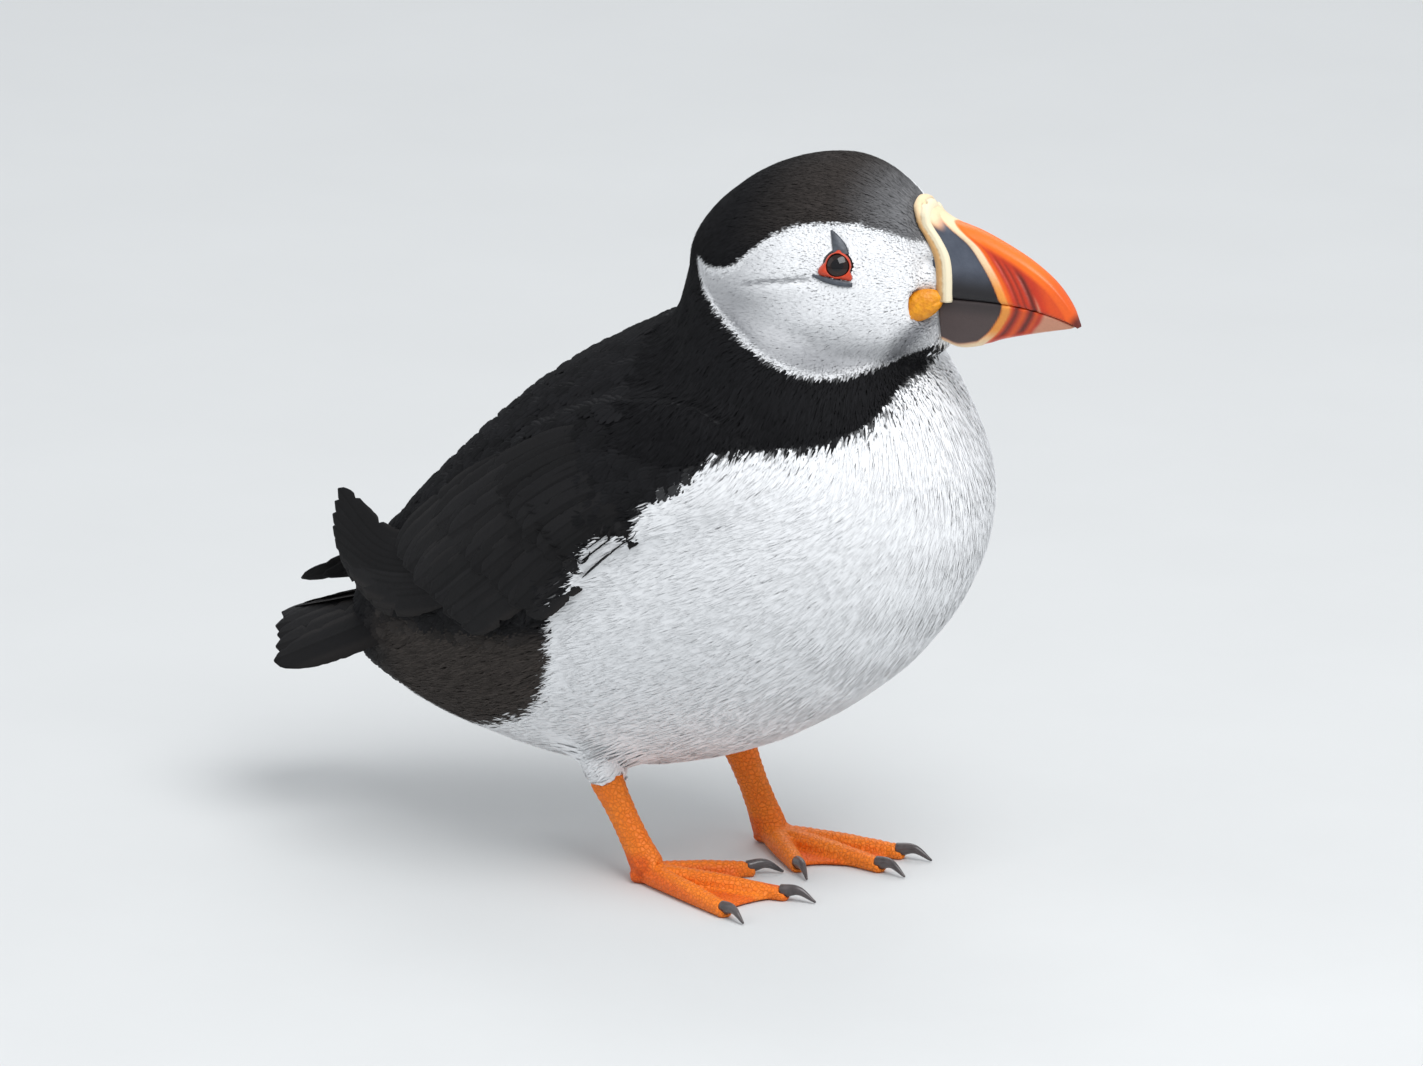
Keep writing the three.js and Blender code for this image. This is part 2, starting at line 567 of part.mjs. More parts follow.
function addHead() {
  const bill = wholeBill(BILL.cere.proud + GAP);
  const lets = Object.values(SIDES).flatMap((side) => [
    eyeSocket(side), horn(side, GAP), slip(side, GAP), rosette(side, GAP),
  ]);
  addPart("head", without(head.solid(), ...lets, bill), "face");
  for (const [name, side] of Object.entries(SIDES)) {
    addPart(`eye_${name}`, eyeball(side), "eye", 0.1);
    addPart(`eye_ring_${name}`, eyeRing(side), "ring", 0.6);
    addPart(`eye_horn_${name}`, horn(side).subtract(eyeSocket(side)), "slate", 0.6);
    addPart(`eye_slip_${name}`, slip(side).subtract(eyeSocket(side)), "slate", 0.6);
    addPart(`rosette_${name}`, rosette(side).subtract(bill), "yellow", 0.7);
  }
  for (const [name, solid, colour] of billSolids()) addPart(name, solid, colour, 0.4);
}

function addWings() {
  for (const name of Object.keys(SIDES)) {
    const whole = largest(without(wing(name), body.solid(GAP), head.solid(GAP), tailFan(GAP)));
    const [arm, hand] = parted(whole, WING.split);
    addPart(`wing_${name}_arm`, arm, "black");
    addPart(`wing_${name}_hand`, hand, "black");
  }
}

function addLegs() {
  for (const name of Object.keys(SIDES)) {
    const taken = [tarsus(name, GAP)];
    addPart(`thigh_${name}`, without(thigh(name), ...taken, body.solid(GAP)), "white");
    addPart(`tarsus_${name}`, tarsus(name), "orange", 0.6);
    for (const toe of ["middle", "inner", "outer"]) {
      const toeAlone = without(toeSolid(name, toe), claw(name, toe, GAP), ...taken);
      addPart(`toe_${name}_${toe}`, toeAlone, "orange", 0.6);
      addPart(`claw_${name}_${toe}`, claw(name, toe), "claw", 0.3);
      taken.push(toeSolid(name, toe, GAP));
    }
    for (const toe of ["inner", "outer"])
      addPart(`web_${name}_${toe}`, without(web(name, toe), ...taken), "orange", 0.6);
  }
}

addBody();
addHead();
addWings();
addPart("tail", tailFan().subtract(body.solid(GAP)), "black");
addLegs();

// The origin is the middle of the box that the bird fills, on the floor.
const box = new THREE.Box3().setFromObject(bird);
const centre = box.getCenter(new THREE.Vector3());
bird.position.set(-centre.x, -centre.y, -box.min.z);

export default bird;
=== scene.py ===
"""An Atlantic puffin as a still, life-size museum model: its skin, plumage, bill, eyes and feet, laid over
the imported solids. All the shaping is done in millimetres from a datum in the middle of the trunk, with +x
where the bird faces, +y its left and +z up. Meshes and the frame are in metres."""

import math

import bpy
import numpy as np
from bpy.props import FloatProperty, FloatVectorProperty, IntProperty, PointerProperty
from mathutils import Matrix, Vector
from mathutils.bvhtree import BVHTree
from mathutils.kdtree import KDTree


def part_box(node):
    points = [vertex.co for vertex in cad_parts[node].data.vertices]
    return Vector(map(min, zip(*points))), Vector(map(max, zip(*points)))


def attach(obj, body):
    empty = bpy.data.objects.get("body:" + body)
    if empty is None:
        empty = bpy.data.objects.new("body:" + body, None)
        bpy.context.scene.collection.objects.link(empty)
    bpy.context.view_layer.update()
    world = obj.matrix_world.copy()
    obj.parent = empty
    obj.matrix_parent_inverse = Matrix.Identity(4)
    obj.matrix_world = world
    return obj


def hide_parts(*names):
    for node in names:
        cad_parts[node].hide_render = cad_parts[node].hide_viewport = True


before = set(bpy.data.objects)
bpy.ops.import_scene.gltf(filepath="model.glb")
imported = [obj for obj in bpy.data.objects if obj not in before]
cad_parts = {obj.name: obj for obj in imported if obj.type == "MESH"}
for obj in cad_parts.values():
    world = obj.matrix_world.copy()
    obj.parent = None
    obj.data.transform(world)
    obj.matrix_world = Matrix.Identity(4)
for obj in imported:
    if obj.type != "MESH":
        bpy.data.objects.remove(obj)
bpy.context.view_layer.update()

bl_info = {
    "name": "Atlantic puffin",
    "version": (1, 0, 0),
    "blender": (4, 5, 0),
    "location": "3D View > Sidebar > Puffin",
    "description": "Builds the skin, plumage, bill, eyes and feet of a life-size puffin over its solids",
    "category": "Object",
}

# ---- Places --------------------------------------------------------------------------------------------
MM = 0.001
SIDES = {"right": -1, "left": 1}
BILL_REACH = 97.0  # how far the tip of the bill lies ahead of the datum
DATUM = np.array([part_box("bill_upper_tip")[1].x / MM - BILL_REACH, 0.0, 0.0])


def centre_of(node):
    """The middle of a node's box, in millimetres from the datum."""
    low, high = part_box(node)
    return np.array((low + high) / 2) / MM - DATUM


EYE_CENTRE = {side: centre_of(f"eye_{side}") + [0, 0, 0.8] for side in SIDES}
EYE_RADIUS = (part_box("eye_right")[1].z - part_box("eye_right")[0].z) / 2 / MM

BODY_FLESH = ["trunk", "rump", "neck", "head", "wing_right_arm", "wing_left_arm", "thigh_right", "thigh_left"]
TOES = ["inner", "middle", "outer"]

# Where the colours change, as [x, z] seen from the side.
FACE = [  # the pale cheek: back along the edge of the cap, then round under the cheek to the bill
    [62, 168.5], [54, 171.8], [48.6, 174.4], [41.5, 176.4], [31.2, 175.8], [23, 172.8], [17.1, 168.2],
    [11.2, 163.3], [3.7, 161.9], [-1.6, 162.6], [2.7, 155.6], [13.7, 148.5], [23.6, 143.1], [33.6, 139.6],
    [40.6, 138.9], [47, 140.3], [53.2, 143], [60, 146], [66, 150], [66, 162],
]
DARK = [  # collar, mantle and wings: up the breast, back along the wing, round the flank and the tail
    [64, 148], [58.6, 142.2], [54.2, 136.6], [50.2, 128.3], [42, 123.8], [30.2, 121.9], [18.2, 120.2],
    [10, 114], [-0.2, 106], [-4.5, 97], [-14.3, 96.5], [-19.7, 88.5], [-22.3, 80.9], [-29, 73], [-30, 63],
    [-33, 53], [-41, 43.5], [-54, 36.5], [-68, 31], [-84, 28], [-110, 32], [-150, 32], [-150, 215],
    [-20, 230], [90, 220], [95, 152],
]
WING = [  # the folded wing
    [29, 113], [15, 103.5], [-1, 97], [-16, 85], [-32, 72], [-53, 63.5], [-76, 61], [-92, 64], [-93, 72],
    [-83, 82], [-71, 97], [-60, 106], [-40, 118], [-15, 128], [8, 131], [23, 125],
]
EYE_LINE = [[33.5, 163.2], [27.5, 162.2], [20, 160.7], [12.8, 159.6], [7, 159.6]]  # the crease behind the eye
# The middle of the bird from the bill back to the tail, as [x, z]: plumage is unwrapped round this line.
AXIS = [
    [62, 160], [46, 161], [32, 161], [20, 154], [24, 140], [28, 124], [21, 106], [1, 91], [-24, 80],
    [-49, 70], [-72, 63], [-90, 58], [-106, 54],
]

# Long flight feathers of each hand: tips outwards from the middle plane, longest first.
PRIMARY = {"width": 9.5, "root": [-52, 32, 84], "root_step": [-1.5, 0.4, -2.6]}
PRIMARIES = {
    "right": {"roll": 0.2, "tips": [[-106.5, 12, 87.5], [-107.5, 13, 81], [-106, 14.5, 75],
                                    [-102, 16.5, 69.5], [-95, 19, 65]]},
    "left": {"roll": 0.6, "tips": [[-130, 11, 55], [-119, 13.5, 57], [-109, 15.5, 59], [-100, 18, 61]]},
}
TAIL = {
    "feathers": 12, "length": 51, "width": 12, "spread": 32, "pitch": 17.5, "fall": 10, "root": [-80, 0, 65],
    "root_width": 14, "arch": 8, "step": 0.15, "tile": 1.05, "rounding": 0.15,
}

# The bill as [x, z] along its ridge, its cutting edges and its keel, with the half thickness at each point.
CULMEN = {
    "line": [[54.5, 180], [60.5, 176.5], [68, 174.8], [75.5, 172], [83, 168.4], [89.5, 163.9], [94, 158.7],
             [96.5, 153.9]],
    "half": [3.4, 2.8, 2.5, 2.3, 2.1, 1.8, 1.4, 0.7],
}
UPPER_EDGE = {
    "line": [[60.5, 157.8], [66.5, 157.9], [73, 158], [79.5, 157.8], [86, 156.9], [91, 155.7], [94.3, 154.4],
             [96.3, 152.9]],
    "half": [7.2, 6.9, 6.3, 5.6, 4.6, 3.5, 2.2, 0.9],
}
LOWER_EDGE = {
    "line": [[60.5, 157.5], [66.5, 157.6], [73, 157.7], [79.5, 157.5], [86, 156.6], [90.5, 155.4],
             [93.4, 154.1], [94.8, 153.2]],
    "half": [7.1, 6.8, 6.2, 5.4, 4.3, 3.1, 1.8, 0.7],
}
GONYS = {
    "line": [[60.5, 145.6], [64.5, 144.3], [70, 145.4], [76, 147.6], [82.5, 149.5], [88.6, 151.1],
             [92.2, 152], [94.2, 152.5]],
    "half": [4.6, 3.6, 2.9, 2.4, 1.9, 1.5, 1.1, 0.6],
}
CHEVRON = [
    [57.5, 180.5], [61.6, 176.2], [69.3, 171.5], [73.4, 167.3], [76.8, 162.9], [79.2, 158.6], [79.7, 156.3],
    [77.7, 152.7], [74, 148.4], [66, 142.5],
]
BILL_ROOT = [
    [52, 179.5], [53.3, 175.3], [56, 171.9], [58.8, 167.5], [60.1, 161], [60.2, 152], [59.8, 146],
    [59.2, 141],
]
CERE_WIDTH = 4.2
SLATE_FRONT = -2.2  # the slate plate stops this far behind the chevron's front edge

# Bare parts at the eye, as [forwards, up] from the middle of the pupil.
LID = {"corners": [[-5.9, -3.0], [4.6, -3.4], [-0.2, 4.6]], "inner": 2.9, "least": 3.45, "most": 5.4}
HORN = {"line": [[0.4, 2.6], [-0.3, 4.4], [-1.5, 6.4], [-3.1, 8.5]], "halves": [2.1, 1.8, 1.15, 0.25]}
BAR = {"line": [[-6.0, -3.2], [-2.5, -3.9], [1.0, -4.2], [4.2, -4.2]], "halves": [0.3, 0.7, 0.8, 0.5]}


# ---- Numbers -------------------------------------------------------------------------------------------
def smooth(low, high, x):
    """0 below low and 1 above high, with a soft step between; low may be above high."""
    t = np.clip((np.asarray(x, float) - low) / (high - low), 0, 1)
    return t * t * (3 - 2 * t)


def unit(vectors):
    """Rows scaled to length 1."""
    return vectors / np.maximum(np.linalg.norm(vectors, axis=-1, keepdims=True), 1e-9)


def dot(a, b):
    """Row by row products, kept as a column."""
    return np.sum(a * b, axis=-1, keepdims=True)


def curve(points, per=8, closed=False):
    """A smooth line through points of any dimension, with per steps between each two."""
    p = np.asarray(points, float)
    ends = (p[-1:], p[:2]) if closed else (2 * p[:1] - p[1:2], 2 * p[-1:] - p[-2:-1])
    ring = np.concatenate([ends[0], p, ends[1]])
    t = np.arange(per)[:, None] / per
    spans = []
    for a, b, c, d in zip(ring, ring[1:], ring[2:], ring[3:]):
        square, cube = 2 * a - 5 * b + 4 * c - d, 3 * b - a - 3 * c + d
        spans.append(0.5 * (2 * b + (c - a) * t + square * t**2 + cube * t**3))
    return np.concatenate(spans if closed else spans + [p[-1:]])


def along(points, shares, per=12):
    """Places at shares 0 to 1 along a smooth line, evenly by its point number."""
    line = curve(points, per)
    at = np.clip(np.asarray(shares, float), 0, 1) * (len(line) - 1)
    return np.stack([np.interp(at, np.arange(len(line)), line[:, k]) for k in range(line.shape[1])], -1)


def value_along(values, shares):
    """A smooth number between evenly spaced values."""
    return along(np.asarray(values, float)[:, None], shares)[..., 0]


def to_line(flat, line):
    """For each [x, z]: the distance to a polyline, and how far along it the nearest place is."""
    a, b = line[:-1], line[1:]
    span = b - a
    reach = np.concatenate([[0], np.cumsum(np.linalg.norm(span, axis=1))])
    nearest, where = np.empty(len(flat)), np.empty(len(flat))
    CHUNK = 20000
    for start in range(0, len(flat), CHUNK):
        p = flat[start:start + CHUNK, None]
        t = np.clip(np.sum((p - a) * span, -1) / np.maximum(np.sum(span**2, -1), 1e-9), 0, 1)
        away = np.linalg.norm(p - (a + t[..., None] * span), axis=-1)
        k = np.argmin(away, axis=1)
        rows = np.arange(len(k))
        nearest[start:start + CHUNK] = away[rows, k]
        where[start:start + CHUNK] = reach[k] + t[rows, k] * (reach[k + 1] - reach[k])
    return nearest, where


def depth_in(flat, outline):
    """How far each [x, z] lies inside a closed smooth outline; negative outside."""
    line = curve(outline, 6, closed=True)
    line = np.concatenate([line, line[:1]])
    away, _ = to_line(flat, line)
    inside = np.zeros(len(flat), bool)
    x, z = flat[:, 0], flat[:, 1]
    for (ax, az), (bx, bz) in zip(line[:-1], line[1:]):
        if az != bz:
            inside ^= ((az > z) != (bz > z)) & (x < (bx - ax) * (z - az) / (bz - az) + ax)
    return np.where(inside, away, -away)


def side_view(points):
    return points[:, [0, 2]]


class Field:
    """A number that depends on [x, z] alone, worked out once on a grid over the bird."""

    LOW, HIGH, STEP = np.array([-150.0, -6.0]), np.array([106.0, 202.0]), 0.8

    def __init__(self, work):
        self.work, self.grid = work, None

    def fill(self):
        counts = ((self.HIGH - self.LOW) / self.STEP).astype(int) + 1
        x, z = (self.LOW[k] + self.STEP * np.arange(counts[k]) for k in range(2))
        flat = np.stack(np.meshgrid(x, z, indexing="ij"), -1).reshape(-1, 2)
        self.grid = self.work(flat).reshape(counts)

    def __call__(self, flat):
        if self.grid is None:
            self.fill()
        at = np.clip((flat - self.LOW) / self.STEP, 0, np.array(self.grid.shape) - 1.001)
        cell = at.astype(int)
        (i, j), (u, v) = cell.T, (at - cell).T
        low = self.grid[i, j] * (1 - u) + self.grid[i + 1, j] * u
        high = self.grid[i, j + 1] * (1 - u) + self.grid[i + 1, j + 1] * u
        return low * (1 - v) + high * v


# ---- Meshes --------------------------------------------------------------------------------------------
def build_mesh(name, points, faces, attributes=None, normals=None, uv=None):
    """An object from points in millimetres, and faces as a list of equal-sided face arrays."""
    faces = faces if isinstance(faces, list) else [faces]
    mesh = bpy.data.meshes.new(name)
    mesh.vertices.add(len(points))
    mesh.vertices.foreach_set("co", ((points + DATUM) * MM).astype(np.float32).ravel())
    corners = np.concatenate([f.ravel() for f in faces])
    sizes = np.concatenate([np.full(len(f), f.shape[1]) for f in faces])
    mesh.loops.add(len(corners))
    mesh.loops.foreach_set("vertex_index", corners.astype(np.int32))
    mesh.polygons.add(len(sizes))
    mesh.polygons.foreach_set("loop_start", (np.cumsum(sizes) - sizes).astype(np.int32))
    mesh.update(calc_edges=True)
    mesh.shade_smooth()
    for key, values in (attributes or {}).items():
        layer = mesh.attributes.new(key, "FLOAT_VECTOR", "POINT")
        layer.data.foreach_set("vector", values.astype(np.float32).ravel())
    if normals is not None:
        layer = mesh.attributes.new("custom_normal", "FLOAT_VECTOR", "POINT")
        layer.data.foreach_set("vector", normals.astype(np.float32).ravel())
    if uv is not None:
        layer = mesh.uv_layers.new(name="OFBake")
        layer.data.foreach_set("uv", uv[corners].astype(np.float32).ravel())
    made = bpy.data.objects.new(name, mesh)
    bpy.context.scene.collection.objects.link(made)
    return made


def finished(made, material, slot, *nodes):
    """Gives a piece its material, and hides the nodes that it stands for. slot is not used."""
    made.data.materials.append(material)
    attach(made, "root")
    if nodes:
        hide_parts(*nodes)
    return made


def face_normals(points, faces):
    if faces.shape[1] == 4:
        return np.cross(points[faces[:, 2]] - points[faces[:, 0]], points[faces[:, 3]] - points[faces[:, 1]])
    return np.cross(points[faces[:, 1]] - points[faces[:, 0]], points[faces[:, 2]] - points[faces[:, 0]])


def point_normals(points, faces):
    """Normals at the points, each the mean of the faces round it."""
    flat = face_normals(points, faces)
    total = np.zeros_like(points)
    for k in range(faces.shape[1]):
        for axis in range(3):
            total[:, axis] += np.bincount(faces[:, k], flat[:, axis], len(points))
    return unit(total)


class Neighbours:
    """The points that share an edge in a mesh of closed faces."""

    def __init__(self, faces):
        self.first, self.second = faces.ravel(), np.roll(faces, -1, axis=1).ravel()
        self.degree = np.bincount(self.first)[:, None]

    def total(self, values):
        """For each point, its neighbours' values added up."""
        return np.stack([np.bincount(self.first, values[self.second, k], len(values)) for k in range(3)], -1)


def relaxed(points, faces, rounds):
    """Evens out a mesh without shrinking it: each round pulls in and then pushes back out."""
    PULL, PUSH = 0.5, -0.515
    beside = Neighbours(faces)
    for _ in range(rounds):
        for share in (PULL, PUSH):
            points = points + share * (beside.total(points) / beside.degree - points)
    return points


def blurred(values, faces, rounds):
    """Values at the points, each averaged again and again with its neighbours'."""
    beside = Neighbours(faces)
    for _ in range(rounds):
        values = 0.3 * values + 0.7 * beside.total(values) / beside.degree
    return values


def smoothed(points, faces, share):
    """Takes facets and steps out of a mesh by a share at each point, and keeps its full form."""
    ROUNDS = 60
    soft = blurred(points, faces, ROUNDS)
    full = soft + blurred(points - soft, faces, ROUNDS)
    return points * (1 - share) + full * share


def node_mesh(name):
    """A node's corners in millimetres from the datum, with doubles merged, and its triangles."""
    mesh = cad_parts[name].data
    points = np.empty(len(mesh.vertices) * 3, np.float32)
    mesh.vertices.foreach_get("co", points)
    mesh.calc_loop_triangles()
    faces = np.empty(len(mesh.loop_triangles) * 3, np.int32)
    mesh.loop_triangles.foreach_get("vertices", faces)
    points = points.reshape(-1, 3).astype(float) / MM - DATUM
    _, first, index = np.unique(np.round(points, 3), axis=0, return_index=True, return_inverse=True)
    faces = index.reshape(-1)[faces.reshape(-1, 3)]
    alive = (faces[:, 0] != faces[:, 1]) & (faces[:, 1] != faces[:, 2]) & (faces[:, 0] != faces[:, 2])
    return points[first], faces[alive]


def merged_nodes(names, swell):
    """Several nodes as one loose mesh, each swelled a little so that the cuts between them close."""
    points, faces, count = [], [], 0
    for name in names:
        p, f = node_mesh(name)
        points.append(p + swell * point_normals(p, f))
        faces.append(f + count)
        count += len(p)
    return np.concatenate(points), np.concatenate(faces)


def fused(names, voxel, rounds, swell=0.2):
    """One even skin of small quads round several nodes."""
    rough = build_mesh("fusing", *merged_nodes(names, swell))
    modifier = rough.modifiers.new("fuse", "REMESH")
    modifier.mode = "VOXEL"
    modifier.voxel_size = voxel * MM
    done = rough.evaluated_get(bpy.context.evaluated_depsgraph_get()).data
    points = np.empty(len(done.vertices) * 3, np.float32)
    done.vertices.foreach_get("co", points)
    faces = np.empty(len(done.loops), np.int32)
    done.loops.foreach_get("vertex_index", faces)
    faces = faces.reshape(-1, 4)
    points = points.reshape(-1, 3).astype(float) / MM - DATUM
    mesh = rough.data
    bpy.data.objects.remove(rough)
    bpy.data.meshes.remove(mesh)
    return relaxed(points, faces, rounds), faces


def triangles(faces):
    return np.concatenate([faces[:, [0, 1, 2]], faces[:, [0, 2, 3]]]) if faces.shape[1] == 4 else faces


class Surface:
    """A mesh that plumage is rooted on: nearest places, casts from the side, and scattered roots."""

    EVEN_ROUNDS, EVEN_SHARE = 45, 0.7
    TRIES, CLOSEST = 3.2, 0.82  # places tried for each one wanted, and the nearest two may lie, in spacings

    def __init__(self, points, faces, even=None):
        """even is the share, at each point, by which the normals are evened out over their neighbours."""
        self.points, self.faces = points, triangles(faces)
        self.normals = point_normals(points, self.faces)
        if even is not None:
            beside = Neighbours(faces)
            share = self.EVEN_SHARE * even[:, None]
            for _ in range(self.EVEN_ROUNDS):
                self.normals = unit(self.normals * (1 - share) + share * unit(beside.total(self.normals)))
        self.tree = BVHTree.FromPolygons(self.points.tolist(), self.faces.tolist())

    def nearest(self, points):
        """The nearest places on the surface, and its normals there."""
        found = [self.tree.find_nearest(p) for p in points.tolist()]
        return np.array([f[0] for f in found]), np.array([f[1] for f in found])

    def from_side(self, flat, side, start=120.0):
        """Where lines along y from outside meet the surface at each [x, z]; the outward distance, or nan."""
        hits = [self.tree.ray_cast(Vector((x, side * start, z)), Vector((0, -side, 0)))[0] for x, z in flat]
        return np.array([h.y * side if h else np.nan for h in hits])

    def roots(self, spacing, seed, keep):
        """Places about a spacing apart where keep(points, wide) is true, with the normals there. The first
        call, with wide true, only leaves out the faces that hold no place."""
        rng = np.random.default_rng(seed)
        corners = self.points[self.faces]
        edges = corners[:, 1:] - corners[:, :1]
        area = np.linalg.norm(np.cross(edges[:, 0], edges[:, 1]), axis=1) / 2
        middle = corners.mean(axis=1)
        area = np.where(keep(middle, True), area, 0)
        count = int(area.sum() / spacing**2 * self.TRIES)
        chosen = np.searchsorted(np.cumsum(area), rng.random(count) * area.sum())
        chosen = np.minimum(chosen, len(area) - 1)
        u, v = rng.random((2, count, 1))
        flip = u + v > 1
        u, v = np.where(flip, 1 - u, u), np.where(flip, 1 - v, v)
        a, b, c = (self.faces[chosen, k] for k in range(3))
        points = self.points[a] * (1 - u - v) + self.points[b] * u + self.points[c] * v
        normals = unit(self.normals[a] * (1 - u - v) + self.normals[b] * u + self.normals[c] * v)
        kept = keep(points, False)
        points, normals = points[kept], normals[kept]
        tree = KDTree(len(points))
        for i, p in enumerate(points.tolist()):
            tree.insert(p, i)
        tree.balance()
        free = np.ones(len(points), bool)
        for i, p in enumerate(points.tolist()):
            if free[i]:
                for _, j, _ in tree.find_range(p, spacing * self.CLOSEST):
                    if j > i:
                        free[j] = False
        return points[free], normals[free]


# ---- Markings, painted shade and sheen, and the lie of the plumage -------------------------------------
FACE_DEPTH = Field(lambda flat: depth_in(flat, FACE))
DARK_DEPTH = Field(lambda flat: depth_in(flat, DARK))
WING_DEPTH = Field(lambda flat: depth_in(flat, WING))
FROM_EYE_LINE = Field(lambda flat: to_line(flat, curve(EYE_LINE))[0])
ALONG_EYE_LINE = Field(lambda flat: to_line(flat, curve(EYE_LINE))[1])


def markings_and_painted_light(points):
    """Black, grey and dusky brown shares of the plumage at each place, the same for skin and coat. The grey
    share also holds painted shade on the cheek, a painted shadow under the bill and a painted sheen on the
    forehead.
    """
    x, y, z = points.T
    raised = 8.5 * smooth(1.5, 6.5, y) * smooth(18, 30, x) * smooth(164, 177, z)  # the left brow is whiter
    turned = 7 * smooth(-2, 12, y) * smooth(118, 128, z) * smooth(25, 40, x)  # the throat turns to the right
    flat = np.stack([x, z - raised], -1)
    face, dark = FACE_DEPTH(flat), DARK_DEPTH(np.stack([x + turned, z], -1))
    on_face = smooth(-0.5, 0.5, face) * smooth(-3, 0, x)
    black = smooth(-0.6, 0.6, dark) * (1 - on_face)
    # White runs back under the body along its lower edge.
    underline = np.interp(x, [-104, -86, -66, -40, -10, 22], [42, 33, 27.5, 24, 27, 39.5])
    black = black * (1 - smooth(7, 3, z - underline) * smooth(13, 8, np.abs(y)) * smooth(-20, -30, x))
    brow = smooth(8, 36, x) * smooth(164, 173, z)  # the cap turns brown, then grey towards the bill
    # Painted sheen: the cap is lightened by half towards the bill.
    black = black * (1 - 0.5 * smooth(36, 56, x) * smooth(164, 171, z))
    # The cheek is grey at its back and below, partly its own pale grey and partly painted shade, and stays
    # white along its rim.
    rim = 1 - smooth(0.5, 2.2, face)
    grey_and_shade_behind_below = smooth(30, 8, x) * 0.42 + smooth(153, 142, z) * 0.42
    # Painted shade: two soft grey patches low on the cheek.
    low_cheek_shade = np.exp(-(((x - 15) / 13)**2 + ((z - 151) / 9)**2)) * 0.55
    low_cheek_shade = low_cheek_shade + np.exp(-(((x - 38) / 12)**2 + ((z - 144) / 6)**2)) * 0.45
    grey = on_face * np.clip(grey_and_shade_behind_below + low_cheek_shade, 0, 1) * (1 - 0.75 * rim)
    away, at = FROM_EYE_LINE(side_view(points)), ALONG_EYE_LINE(side_view(points))
    grey = np.maximum(grey, on_face * smooth(1.2, 0.2, away) * smooth(27, 14, at) * 0.9)
    # A painted shadow under the bill: a dark wedge climbs from the chin towards the gape.
    chin_shadow = np.exp(-(((x - 50.5 - 0.8 * (z - 142)) / 3.6)**2)) * smooth(139, 142, z) * smooth(154.5, 151, z)
    grey = np.maximum(grey, on_face * chin_shadow)
    # Painted sheen: on the cap the pale share is grey, so the lightened forehead turns grey.
    grey = np.maximum(grey, 0.85 * smooth(12, 20, x) * smooth(160, 166, z) * (1 - on_face))
    # The painted shadow is also darkened towards black at its lower end.
    black = np.maximum(black, 0.3 * on_face * chin_shadow * smooth(150, 146, z))
    dusky = black * smooth(2, -3, WING_DEPTH(flat)) * smooth(70, 62, z)
    dusky = dusky * smooth(-24, -32, x) * smooth(-95, -80, x)
    brown = np.maximum(dusky, 0.7 * black * brow)
    return np.stack([black, grey, brown], -1)


def lie(points, normals):
    """The direction in which the plumage lies at each place: back over the head, down the neck and breast,
    along the body to the tail, and out round the eye."""
    x, y, z = points.T
    head = smooth(134, 150, z) * smooth(-14, 2, x + (z - 150) * 0.4)
    neck = (1 - head) * smooth(104, 126, z) * smooth(-22, 2, x)
    down = 0.12 + 0.95 * smooth(24, -4, x) + 0.35 * smooth(152, 138, z)
    over_head = np.stack([-np.ones_like(x), 0 * y, -down], -1)
    down_neck = np.stack([-0.32 + 0 * x, 0 * y, -np.ones_like(x)], -1)
    down_back = np.stack([-0.9 + 0 * x, 0 * y, -0.42 - 0.3 * smooth(40, 70, x)], -1)
    flow = unit(over_head) * head[:, None] + unit(down_neck) * neck[:, None]
    flow = flow + unit(down_back) * (1 - head - neck)[:, None]
    for side, sign in SIDES.items():
        out = points - EYE_CENTRE[side]
        near = np.exp(-(np.linalg.norm(out, axis=1) / 7.0)**4) * (y * sign > 0)
        flow += unit(out * [1, 0.2, 1]) * near[:, None] * 1.6
    return unit(flow - dot(flow, normals) * normals)


def eye_frame(side):
    """The middle of the eyeball with axes forwards, up and outwards at its surface."""
    ball = EYE_CENTRE[side]
    out = unit(centre_of(f"eye_ring_{side}") - centre_of(f"eye_{side}"))
    forward = unit(np.array([1.0, 0, 0]) - out[0] * out)
    up = unit(np.array([0, 0, 1.0]) - out[2] * out - forward[2] * forward)
    return ball, forward, up, out


def lid_reach(turn):
    """How far out the lid's three-cornered edge lies at each angle round the eye."""
    angle = np.linspace(0, 2 * math.pi, 180, endpoint=False)
    ray = np.stack([np.cos(angle), np.sin(angle)], -1)
    corners = np.array(LID["corners"])
    reach = np.full(len(angle), LID["most"])
    for a, b in zip(corners, np.roll(corners, -1, axis=0)):
        edge = unit(b - a) @ np.array([[0, -1.0], [1.0, 0]])
        facing = np.maximum(ray @ edge, 1e-3)
        reach = np.minimum(reach, (a @ edge) / facing)
    wide = np.concatenate([reach, reach, reach])
    for _ in range(24):
        wide[1:-1] = (wide[:-2] + 2 * wide[1:-1] + wide[2:]) / 4
    reach = np.maximum(wide[180:360], LID["least"])
    return np.interp(np.mod(turn, 2 * math.pi), np.append(angle, 2 * math.pi), np.append(reach, reach[0]))


def bare_at_eye(points, margin):
    """True where the lid, the horn above it or the bar below it covers the skin."""
    bare = np.zeros(len(points), bool)
    for side in SIDES:
        ball, forward, up, out = eye_frame(side)
        offset = points - ball
        flat = np.stack([offset @ forward, offset @ up], -1)
        here = (offset @ out > 0) & (np.linalg.norm(flat, axis=1) < 14)
        inside = np.hypot(*flat.T) < lid_reach(np.arctan2(flat[:, 1], flat[:, 0])) + margin
        for plate in (HORN, BAR):
            line = curve(plate["line"], 8)
            away, at = to_line(flat, line)
            half = value_along(plate["halves"], at / np.linalg.norm(np.diff(line, axis=0), axis=1).sum())
            inside |= away < half + margin
        bare |= here & inside
    return bare


